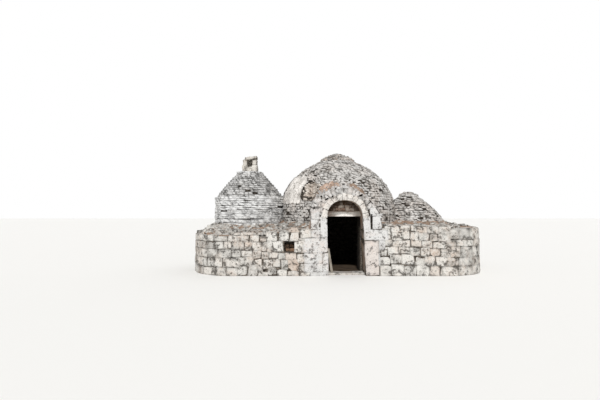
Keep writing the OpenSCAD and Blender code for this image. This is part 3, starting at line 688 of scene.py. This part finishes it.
def side_radius(z):
    """The side dome's radius, on its solids' curve."""
    return side_foot * (1.0 - (0.94 * clamp((z - terrace_z) / 1.21)) ** 1.5)


gable_line = [(1.10, 1.46), (1.10, 1.74), (1.05, 1.89), (0.95, 2.08), (0.86, 2.17), (0.74, 2.30),
              (0.58, 2.41), (0.42, 2.52), (0.16, 2.65), (0.03, 2.71), (-0.09, 2.69), (-0.30, 2.63),
              (-0.48, 2.55), (-0.60, 2.49), (-0.705, 2.46), (-0.83, 2.39), (-0.95, 2.24),
              (-1.0, 2.0), (-1.0, 1.74), (-1.0, 1.46)]


def gable_top(x):
    """Height of the gable over a place along the wall, or 0 beside it."""
    for (x1, z1), (x0, z0) in zip(gable_line, gable_line[1:]):
        if x0 <= x <= x1 and x1 > x0:
            return z0 + (z1 - z0) * (x - x0) / (x1 - x0)
    return 0.0


def in_gable(p, slack=0.0):
    """Whether a place is in the gable's solid, deeper than slack. The next two do the same."""
    return p.y < gable_d and p.z < gable_top(p.x) - slack


def in_main(p, slack=0.0):
    return near(p, main_at) < main_radius(p.z) - slack and p.z < main_top_z


def in_hearth(p, slack=0.0):
    return near(p, hearth_at) < hearth_radius(p.z) - slack and p.z < hearth_top_z


def inset(x, y):
    """How far a place on the plan lies inside the face of the outer walls."""
    p = Vector((x, y, 0.0))
    far = [foot + ledge - near(p, at) for at, foot in rooms]
    far += [corner_r - near(p, at) for at in (left_corner, right_corner)]
    if x < 0.0 and corner_r < y < hearth_at.y:
        far.append(x - plan_left)
    if x > 0.0 and corner_r < y < side_at.y:
        far.append(plan_right - x)
    if left_corner.x < x < right_corner.x and y < side_at.y:
        far.append(y)
    return max(far)


def coping_top(x, y):
    """Height of the outer walls at the sides and the back, which have lost most at the left."""
    if x < left_corner.x and y < corner_r:
        return corner_top
    return hearth_side_top if x < hearth_at.x - (hearth_foot + ledge) / 2 else wall_top


def terrace_height(x, y):
    """The earth covers the core, lies against the domes and runs out on the walls' coping."""
    p = Vector((x, y, 0.0))
    low = terrace_z
    if x < -1.0 and y < 1.3:
        low = low_terrace_z + (terrace_z - low_terrace_z) * max(y - leaf, 0.0) / 0.88
        low -= 0.10 * clamp((-2.9 - x) / 0.3) * clamp((0.46 - y) / 0.14)
    heaped = sum(share * exp(-max(near(p, at) - foot, 0.0) / 0.13)
                 for (at, foot), share in zip(rooms, (1.0, 0.4, 1.0)))
    if y < 1.3:
        heaped += 0.7 * exp(-max(-0.95 - x, x - 1.05, 0.0) / 0.15)
    bumps = (noise.noise(Vector((x * 2.1, y * 2.1, 4.0)))
             + 0.5 * noise.noise(Vector((x * 7, y * 7, 9.0))))
    high = low + 0.018 + 0.13 * min(heaped, 1.3)
    down = clamp((0.45 - inset(x, y)) / 0.30) * clamp((y - 0.45) / 0.2)
    return high + (coping_top(x, y) + 0.01 - high) * down + 0.035 * bumps


def covered(x, y):
    """Where earth lies: clear of the domes, the gable and the outer edge of the copings."""
    p = Vector((x, y, 0.0))
    edge = 0.13 if y >= 0.5 else 0.06 if x < -1.3 else 0.36
    return (inset(x, y) > edge and all(near(p, at) > foot - 0.12 for at, foot in rooms)
            and not (-0.9 < x < 1.0 and y < gable_d))


def ground_sheet(bm, low, high, cell, height, keep, thick, tone):
    """A sheet of earth over part of the plan, thick below its top. tone(x) is how dark it is."""
    span = Vector(high) - Vector(low)
    middle = (Vector(high) + Vector(low)) / 2
    place = (Matrix.Translation((middle.x, middle.y, 0))
             @ Matrix.Diagonal((span.x / 2, span.y / 2, 1, 1)))
    bmesh.ops.create_grid(bm, x_segments=round(span.x / cell), y_segments=round(span.y / cell),
                          size=1.0, matrix=place)
    left_out = [f for f in bm.faces if not keep(*f.calc_center_median().xy)]
    bmesh.ops.delete(bm, geom=left_out, context="FACES")
    layer = bm.verts.layers.float["tone"]
    for v in bm.verts:
        v.co.z = height(v.co.x, v.co.y)
        v[layer] = tone(v.co.x)
    bmesh.ops.solidify(bm, geom=bm.faces[:], thickness=thick)


# The earth is the red clay soil of the district, bleached at the surface and full of chips.
earth, tree, where = new_material("dry_red_earth")
tone = add(tree, "Attribute", out="Fac", attribute_name="tone")
clods = add(tree, "TexNoise", {"Vector": where, "Scale": 500.0 / 70.0, "Detail": 8.0,
                               "Roughness": 0.75})
broad = add(tree, "TexNoise", {"Vector": where, "Scale": 500.0 / 160.0, "Detail": 4.0})
grit = add(tree, "TexVoronoi", {"Vector": where, "Scale": 18.0})
dark = add(tree, "Mix", {0: tone, 6: "#A3836F", 7: "#6E584A"}, 2, data_type="RGBA")
light = add(tree, "Mix", {0: tone, 6: "#DDC5B4", 7: "#B09A88"}, 2, data_type="RGBA")
finish(tree, dark, ((add(tree, "MapRange", (clods, 0.35, 0.65)), light),
                    (add(tree, "MapRange", (broad, 0.42, 0.58, 0.0, 0.7)), "#85705F"),
                    (add(tree, "MapRange", (grit, 0.10, 0.22, 0.8, 0.0)), "#B9B1A6")),
       clods, 30.0)

bm = pile()
ground_sheet(bm, (plan_left, 0.0), (plan_right, 5.3), 0.09, terrace_height, covered, 0.05,
             lambda x: 0.75)
set_piece("terrace_earth", bm, earth, 60.0)


def tumble(bm, at, size, rng, tilt=0.4, tone=None):
    """A loose stone about size across that lies as it fell."""
    turned = (Matrix.Rotation(rng.uniform(0.0, tau), 3, "Z")
              @ Matrix.Rotation(rng.uniform(-tilt, tilt), 3, "X"))
    stone(bm, at, turned @ RIGHT, turned @ BACK, size * rng.uniform(0.9, 1.6), size,
          size * rng.uniform(0.5, 0.85), rng, 0.2, tone)


def bare(p):
    """Whether a place on the terrace is clear of what stands on it."""
    return not (in_main(p) or in_hearth(p) or near(p, side_at) < side_foot or in_gable(p))


rng = random.Random(14)
bm = pile()
for i in range(1900):
    x, y = rng.uniform(plan_left, plan_right), rng.uniform(0.3, 5.2)
    if i % 4 == 0:
        x, y = rng.uniform(-4.0, -1.0), rng.uniform(0.1, 1.5)
    if i % 8 == 1:
        x, y = rng.uniform(1.15, 3.3), rng.uniform(0.1, 0.5)
    p = Vector((x, y, terrace_height(x, y)))
    if bare(p) and inset(x, y) > (0.10 if i % 4 == 0 or i % 8 == 1 else 0.30):
        size = rng.choice((0.05, 0.06, 0.08, 0.10, 0.13))
        tumble(bm, p + UP * size * 0.25, size, rng)
for i in range(3900):  # smaller ones on the bank down to the copings
    x, y = rng.uniform(plan_left, plan_right), rng.uniform(0.3, 5.2)
    if i % 5 == 0:
        x, y = rng.uniform(plan_left, -3.2), rng.uniform(0.2, 1.4)
    p = Vector((x, y, terrace_height(x, y)))
    if bare(p) and 0.12 < inset(x, y) < 0.6 and (y > 0.7 or x < -3.2):
        size = rng.choice((0.04, 0.05, 0.06, 0.08, 0.11))
        tumble(bm, p + UP * size * 0.2, size, rng)
weather(bm, 1, 0.3, 10.0, 70.0)
set_piece("stones_on_terrace", bm, wall_stone)


# Main dome: rubble laid in rough rings over the vault, each stone leaning back with the curve
# and packed with smaller ones. Lichen has greyed it, and red earth has washed into its joints.
def lay_ring(bm, centre, z, tall, radius, tilt, wide, deep, proud, rng, skip, slack, roll=0.05,
             stray=0.0, grow=(0.85, 1.2), tones=(0.0, 0.8)):
    """A ring of stones on a round roof, whose faces are tilted back from upright. wide, proud,
    grow and tones are ranges to draw from, and skip tells where no stone lies."""
    a = rng.uniform(0.0, tau)
    end = a + tau
    while a < end - 0.02:
        turn = min(rng.uniform(*wide) / radius, 1.2)
        flat = Vector((cos(a + turn / 2), sin(a + turn / 2), 0.0))
        out = flat * cos(tilt) + UP * sin(tilt)
        along = UP.cross(flat)
        up = out.cross(along)
        spin = Matrix.Rotation(rng.gauss(0.0, roll), 3, out)
        at = (centre + UP * z + flat * radius + up * rng.uniform(-stray, stray) * tall
              + out * rng.uniform(*proud))
        own = tall * rng.uniform(*grow)
        if not skip(at) and rng.random() > 0.012:
            stone(bm, at, spin @ along, spin @ up, turn * radius * 1.06, own, deep, rng, slack,
                  rng.uniform(*tones))
        a += turn


def lay_rings(bm, centre, radius, z0, z1, high, wide, deep, proud, lean, rng, skip, slack=0.15,
              **loose):
    """Rings from z0 up to z1. lean 0 keeps their faces upright, 1 follows the slope."""
    z = z0
    while z < z1:
        tall = rng.uniform(*high)
        mid = z + tall / 2
        tilt = atan2(radius(mid - 0.03) - radius(mid + 0.03), 0.06) * lean
        lay_ring(bm, centre, mid, tall, max(radius(mid), 0.10), tilt, wide, deep, proud, rng, skip,
                 slack, **loose)
        z += max(tall * cos(tilt), 0.035)


# the hollow is cut by a ball outside the dome, and the lime lies between angles and heights
scar_deg, scar_r, scar_z = 238.0, 0.46, 2.70
scar_out = main_radius(scar_z) + scar_r - 0.17
scar_at = main_at + Vector((scar_out * cos(radians(scar_deg)), scar_out * sin(radians(scar_deg)),
                            scar_z))
coat_deg, coat_z = (198.0, 230.0), (2.20, 3.14)
dome_stone = limestone("lichened_dome_rubble", "#DAD7D3", "#B0ADA9", "#5E5A55", "#C6AD99",
                       growth=0.52, earth_share=0.32, rim_shade_and_dirt=0.6)


def in_coat(p, margin=0.0):
    """Whether a place on the main dome lies under the lime, whose edge is ragged."""
    way = degrees(atan2(p.y - main_at.y, p.x - main_at.x)) % 360.0
    ragged = 3.5 * noise.noise(Vector((p.z * 4.0, way * 0.15, 0.0)))
    ragged_z = 0.10 * noise.noise(Vector((way * 0.3, p.z, 5.0)))
    return (coat_deg[0] - margin < way < coat_deg[1] - 2.0 + ragged + margin
            and coat_z[0] + ragged_z - margin * 0.04 < p.z < coat_z[1] + ragged_z + margin * 0.04)


def off_main_dome(p):
    """Places without facing: the lime, the hollow, the gable and the other two domes."""
    return (in_coat(p, -1.5) or (p - scar_at).length < scar_r - 0.01 or in_gable(p, 0.04)
            or in_hearth(p, 0.03)
            or (near(p, side_at) < side_radius(p.z) - 0.03 and p.z < 2.6))


rng = random.Random(11)
bm = pile()
lay_rings(bm, main_at, main_radius, 1.46, 3.76, (0.065, 0.105), (0.08, 0.20), 0.15,
          (-0.002, 0.032), 0.9, rng, off_main_dome, 0.18, roll=0.13, stray=0.15, tones=(0.0, 0.6))
weather(bm, 1, 0.26, 14.0, 90.0)
set_piece("main_dome_rubble", bm, dome_stone)

bm = pile()
for i in range(150):
    way, far = rng.uniform(0.0, tau), sqrt(rng.random()) * 0.56
    top = 3.81 + 0.20 * clamp((0.56 - far) / 0.36)
    at = main_at + Vector((far * cos(way), far * sin(way), top + rng.uniform(-0.02, 0.03)))
    tumble(bm, at, rng.uniform(0.07, 0.15), rng, 0.5, rng.uniform(0.5, 1.0))
weather(bm, 1, 0.3, 11.0, 70.0)
set_piece("main_dome_crown_rubble", bm, dome_stone)


# Hollow in the main dome: facing stones have dropped out over a patch beside the lime, and the
# small stones and red earth packed behind them show.
hearting = limestone("earthy_hearting_stone", "#E9E1D7", "#BDB2A6", "#574D44", "#B59A85",
                     growth=0.6, earth_share=0.4)
rng = random.Random(15)
bm = pile()
towards = (main_at + UP * 2.62 - scar_at).normalized()
for i in range(190):
    way = (towards + Vector((rng.gauss(0, 0.5), rng.gauss(0, 0.5), rng.gauss(0, 0.5)))).normalized()
    at = scar_at + way * scar_r
    if in_main(at, 0.01) and not in_gable(at):
        along = UP.cross(-way).normalized()
        stone(bm, at - way * rng.uniform(0.0, 0.03), along, (-way).cross(along),
              rng.uniform(0.06, 0.15), rng.uniform(0.05, 0.10), 0.10, rng, 0.2)
weather(bm, 1, 0.3, 10.0, 60.0)
set_piece("main_dome_hollow_stones", bm, hearting)


# Lime coat: what is left of a trowelled coat of lime on the left shoulder of the main dome. It
# is smooth and pale, swells over the stones under it, and breaks off ragged.
lime, tree, where = new_material("weathered_lime_plaster")
stains = add(tree, "TexNoise", {"Vector": where, "Scale": 500.0 / 160.0, "Detail": 5.0})
grains = add(tree, "TexNoise", {"Vector": where, "Scale": 500.0 / 40.0, "Detail": 6.0,
                                "Roughness": 0.7})
crazing = add(tree, "TexVoronoi", {"Vector": where, "Scale": 5.0}, feature="DISTANCE_TO_EDGE")
between = add(tree, "MapRange", (crazing, 0.0, 0.035))
finish(tree, "#F8F3ED", ((add(tree, "MapRange", (stains, 0.36, 0.62)), "#CDC8C2"),
                         (add(tree, "MapRange", (grains, 0.55, 0.66, 0.0, 0.8)), "#7C7770"),
                         (add(tree, "MapRange", (crazing, 0.0, 0.035, 1.0, 0.0)), "#98918A")),
       add(tree, "Math", (grains, between), operation="MULTIPLY"), 10.0)

bm = pile()
place = Matrix.Translation((sum(coat_deg) / 2, sum(coat_z) / 2, 0)) @ Matrix.Diagonal(
    ((coat_deg[1] - coat_deg[0]) / 2 + 3.0, (coat_z[1] - coat_z[0]) / 2 + 0.1, 1, 1))
bmesh.ops.create_grid(bm, x_segments=34, y_segments=36, size=1.0, matrix=place)
for v in bm.verts:
    way, z = radians(v.co.x), v.co.y
    r = main_radius(z) + 0.035
    v.co = main_at + Vector((r * cos(way), r * sin(way), z))
middles = [(f, f.calc_center_median()) for f in bm.faces]
left_out = [f for f, p in middles
            if not in_coat(p) or in_hearth(p, 0.05) or (p - scar_at).length < scar_r]
bmesh.ops.delete(bm, geom=left_out, context="FACES")
bmesh.ops.recalc_face_normals(bm, faces=bm.faces)
bm.faces.ensure_lookup_table()
if bm.faces[0].normal.dot(bm.faces[0].calc_center_median() - main_at - UP * 2.0) < 0.0:
    bmesh.ops.reverse_faces(bm, faces=bm.faces)
bm.normal_update()
for v in bm.verts:
    v.co += v.normal * (noise.noise(v.co * 6.0) * 0.026 + noise.noise(v.co * 16.0) * 0.010)
bmesh.ops.solidify(bm, geom=bm.faces[:], thickness=0.05)
coat = set_piece("lime_coat_remnant", bm, lime, 60.0)
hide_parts("lime_coat")


# Gable: the arch is loaded with flat stones set on edge round it, like rays, up to a rounded
# gable, whose back runs into the dome. Red earth has gathered in the valley behind it.

# place, width, height and lean in degrees of the joints that gape where small stones fell out,
# in each of which a dark patch of painted shade stands
deep_joints = [
    (-0.545, 2.297, 0.12, 0.035, 30), (-0.377, 2.378, 0.06, 0.04, 40), (0.48, 2.405, 0.10, 0.07, 10),
    (-0.707, 2.378, 0.05, 0.035, 0), (-0.93, 2.03, 0.06, 0.05, 20), (0.79, 1.823, 0.055, 0.05, 0),
    (0.80, 1.70, 0.035, 0.12, 10), (0.785, 1.62, 0.05, 0.06, 0), (0.795, 1.51, 0.04, 0.14, -6)]
rng = random.Random(16)
bm = pile()
for x, z, wide, high, lean in deep_joints:
    turned = Matrix.Rotation(radians(-lean), 3, "Y")
    proud = 0.014 if 1.45 < z < 1.75 else 0.034
    stone(bm, Vector((x, -proud, z)), turned @ RIGHT, turned @ UP, wide, high, 0.05, rng, 0.2)
weather(bm, 2, 0.3, 6.0, 50.0)
# painted shade: patches nearly black, for the shade deep in those joints, where no light reaches
painted_joint_shade = masonry("painted_shade_in_deep_joints", "#241E19", "#1B1713", "#0F0D0B", 60.0, 40.0)
set_piece("deep_joint_painted_shade", bm, painted_joint_shade)

# the face: rings of stones like rays round the arch, cut off at the gable's line
bm = pile()
held = left_jamb + right_jamb
r = arch_r + 0.01
while r < 1.35:
    tall = rng.uniform(0.12, 0.18)
    a = 0.0
    while a < pi:
        turn = rng.uniform(0.08, 0.19) / r
        ray = Vector((cos(a + turn / 2), 0.0, sin(a + turn / 2)))
        mid = UP * spring_z + ray * (r + tall / 2)
        room = min(tall, (gable_top(mid.x) - mid.z) * 1.2 + tall / 2)
        taken = any(b[0] < mid.x < b[1] and b[2] < mid.z < b[3] for b in held)
        if mid.z > 1.80 and room > 0.04 and not taken:
            mid -= ray * (tall - room) / 2
            stone(bm, mid - BACK * rng.uniform(0.010, 0.032), Vector((ray.z, 0.0, -ray.x)), ray,
                  turn * r * 1.12, room * 1.14, 0.18, rng, 0.12)
        a += turn
    r += tall
# the top: rows that run back along the gable's line into the dome
for (x1, z1), (x0, z0) in zip(gable_line, gable_line[1:]):
    way = Vector((x0 - x1, 0.0, z0 - z1))
    out = Vector((way.z, 0.0, -way.x)).normalized()
    rows = max(round(way.length / 0.15), 1)
    for i in range(rows):
        y = 0.0
        while y < gable_d:
            wide = rng.uniform(0.12, 0.26)
            p = (Vector((x1, y + wide / 2, z1)) + way * (i + 0.5) / rows
                 + out * rng.uniform(0.0, 0.025))
            if not in_main(p, 0.02):
                stone(bm, p, BACK, way.normalized(), wide * 1.08, way.length / rows * 1.12, 0.16,
                      rng, 0.14)
            y += wide
weather(bm, 1, 0.26, 11.0, 80.0)
gable_stone = limestone("grey_gable_stone", "#E0DEDC", "#BAB8B5", "#6B6864", "#CDB6A5",
                        growth=0.55, earth_share=0.35, rim_shade_and_dirt=0.6)
set_piece("portal_gable_rubble", bm, gable_stone)


def gable_earth(x, y):
    """The earth lies thin on the gable's peak, and thick on its shoulders against the dome."""
    away = max(near(Vector((x, y, 0)), main_at) - main_radius(gable_top(x) + 0.1), 0.0)
    heap = (0.32 - 0.24 * exp(-((x - 0.04) / 0.20) ** 2)) * clamp((0.88 - abs(x)) / 0.2)
    lumps = (0.03 * noise.noise(Vector((x * 8, y * 8, 3)))
             + 0.02 * noise.noise(Vector((x * 20, y * 20, 5))))
    return gable_top(x) - 0.02 + heap * exp(-away / 0.17) + lumps


bm = pile()
ground_sheet(bm, (-0.86, 0.20), (0.86, 1.40), 0.05, gable_earth,
             lambda x, y: near(Vector((x, y, 0)), main_at) > main_radius(gable_top(x)) - 0.22, 0.06,
             lambda x: min(max(0.45 + x, 0.0), 0.9))
set_piece("gable_earth", bm, earth, 60.0)

bm = pile()
for i in range(330):
    x, y = rng.uniform(-0.85, 0.85), rng.uniform(0.25, 1.15)
    at = Vector((x, y, gable_earth(x, y) + 0.01))
    if not in_main(at, 0.02):
        tumble(bm, at, rng.choice((0.03, 0.04, 0.05, 0.08)), rng)
weather(bm, 1, 0.3, 8.0, 60.0)
set_piece("stones_on_gable", bm, gable_stone)


# Hearth drum and cone: thin slabs of limestone in level courses, each ring of the cone set back
# on the one below, up to a flat top. Larger slabs make the foot of the drum.
slab_stone = limestone("grey_roofing_slabs", "#F1F1F0", "#DADAD9", "#7C7B7A", "#C9BAAC",
                       growth=0.40, earth_share=0.10, rim_shade_and_dirt=0.66)
# where slabs have dropped out of the front: places along the wall and heights
dropped = [(-3.06, 2.64), (-2.82, 2.56), (-3.36, 2.76), (-2.24, 2.24), (-2.02, 2.06)]


def off_hearth(p):
    """Places without slabs: the gaps in front, and inside the main dome."""
    gone = any(abs(p.x - x) < 0.05 and abs(p.z - z) < 0.036 for x, z in dropped)
    return (gone and p.y < hearth_at.y) or in_main(p, 0.02)


rng = random.Random(23)
bm = pile()
lay_rings(bm, hearth_at, hearth_radius, 1.44, 1.72, (0.09, 0.13), (0.16, 0.40), 0.20,
          (0.006, 0.038), 0.0, rng, off_hearth, 0.12, roll=0.03, stray=0.1)
lay_rings(bm, hearth_at, hearth_radius, 1.70, 2.40, (0.055, 0.085), (0.12, 0.36), 0.20,
          (0.006, 0.042), 0.0, rng, off_hearth, 0.14, roll=0.03, stray=0.1, grow=(0.8, 1.1))
weather(bm, 1, 0.2, 9.0, 80.0)
set_piece("hearth_drum_slabs", bm, slab_stone)

bm = pile()
for i in range(cone_rings):
    mid = cone_z + (i + 0.5) * ring_h
    down = 0.02 if i == 0 else 0.0  # the lowest ring reaches down behind the drum's top course
    lay_ring(bm, hearth_at, mid - down, ring_h + 2 * down, hearth_radius(mid), 0.10,
             (0.08, 0.24), 0.22, (0.008, 0.036), rng, off_hearth, 0.14, roll=0.03, stray=0.06,
             grow=(0.9, 1.15))
weather(bm, 1, 0.2, 9.0, 80.0)
cone_stone = limestone("lichened_cone_slabs", "#DBDAD8", "#AAA9A7", "#545351", "#B3A495",
                       growth=0.65, earth_share=0.10)
set_piece("hearth_cone_slabs", bm, cone_stone)

bm = pile()
for i in range(46):
    way, far = rng.uniform(0.0, tau), rng.uniform(0.20, 0.40)
    turned = Matrix.Rotation(rng.uniform(0.0, tau), 3, "Z")
    at = Vector((hearth_at.x + far * cos(way), hearth_at.y + far * sin(way),
                 rng.uniform(3.335, 3.355)))
    stone(bm, at, turned @ RIGHT, turned @ BACK, rng.uniform(0.12, 0.24), rng.uniform(0.09, 0.16),
          0.05, rng, 0.15)
lay_ring(bm, hearth_at, (slab_lo.z + slab_hi.z) / 2, slab_hi.z - slab_lo.z,
         (slab_hi.x - slab_lo.x) / 2, 0.0, (0.10, 0.22), 0.18, (0.002, 0.012), rng, off_hearth,
         0.12, grow=(1.0, 1.2))
weather(bm, 1, 0.22, 8.0, 80.0)
set_piece("hearth_top_slabs", bm, slab_stone)


# Chimney: rough stones set on edge round the flue in two tiers, with a cap stone on top, which
# has sunk to the left, and an open mouth at the front. Each replaces its plain CAD stone.
chimney_stone = limestone("chimney_limestone", "#E2DED6", "#B8B2A9", "#625D56", "#BBA997",
                          growth=0.6)
rng = random.Random(27)
for node in ("chimney_left_stone", "chimney_left_upper_stone", "chimney_right_stone",
             "chimney_right_upper_stone", "chimney_back_stone", "chimney_sill_stone",
             "chimney_cap_stone"):
    bm = pile()
    block_from(bm, node, rng, 0.08, rng.uniform(0.1, 0.5), 0.006)
    weather(bm, 4, 0.8, 16.0, 110.0)
    if node == "chimney_cap_stone":
        for v in bm.verts:
            v.co.z += 0.12 * (v.co.x - hearth_at.x)
    piece = set_piece(node.replace("_stone", "_block"), bm, chimney_stone)
    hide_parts(node)


# Side dome: low and partly fallen in, of the same rubble as the main one.
rng = random.Random(31)
bm = pile()
lay_rings(bm, side_at, side_radius, 1.46, 2.62, (0.065, 0.11), (0.09, 0.21), 0.15,
          (-0.004, 0.035), 0.9, rng, lambda p: in_main(p, 0.02), 0.18, roll=0.13,
          stray=0.15, tones=(0.0, 0.6))
for i in range(40):
    way, far = rng.uniform(0.0, tau), sqrt(rng.random()) * 0.32
    at = side_at + Vector((far * cos(way), far * sin(way), 2.70 - far * 0.4))
    tumble(bm, at, rng.uniform(0.08, 0.15), rng, 0.5)
weather(bm, 1, 0.28, 13.0, 90.0)
set_piece("side_dome_rubble", bm, dome_stone)


# Floor of the rooms: beaten earth, level with the foot of the walls, dark partly with use and partly
# as painted shade for the unlit rooms.
floor_earth, tree, where = new_material("beaten_floor_earth")
worn = add(tree, "TexNoise", {"Vector": where, "Scale": 500.0 / 150.0, "Detail": 6.0})
finish(tree, "#3A3027", ((add(tree, "MapRange", (worn, 0.35, 0.65)), "#564838"),), worn, 8.0)


def in_rooms(x, y):
    """Whether a place on the plan is in a room, the doorway or a passage."""
    p = Vector((x, y, 0.0))
    return (near(p, main_at) < 1.55 or near(p, hearth_at) < 0.9 or near(p, side_at) < 0.9
            or (abs(x) < 0.6 and 0.55 < y < 1.4)
            or (hearth_at.x < x < -1.2 and abs(y - 2.45) < 0.42)
            or (1.2 < x < side_at.x and abs(y - 2.93) < 0.42))


bm = pile()
ground_sheet(bm, (-4.0, 0.55), (3.7, 4.3), 0.1,
             lambda x, y: 0.03 + 0.008 * noise.noise(Vector((x * 3, y * 3, 0))), in_rooms, 0.025,
             lambda x: 0.0)
set_piece("beaten_earth_floor", bm, floor_earth, 60.0)
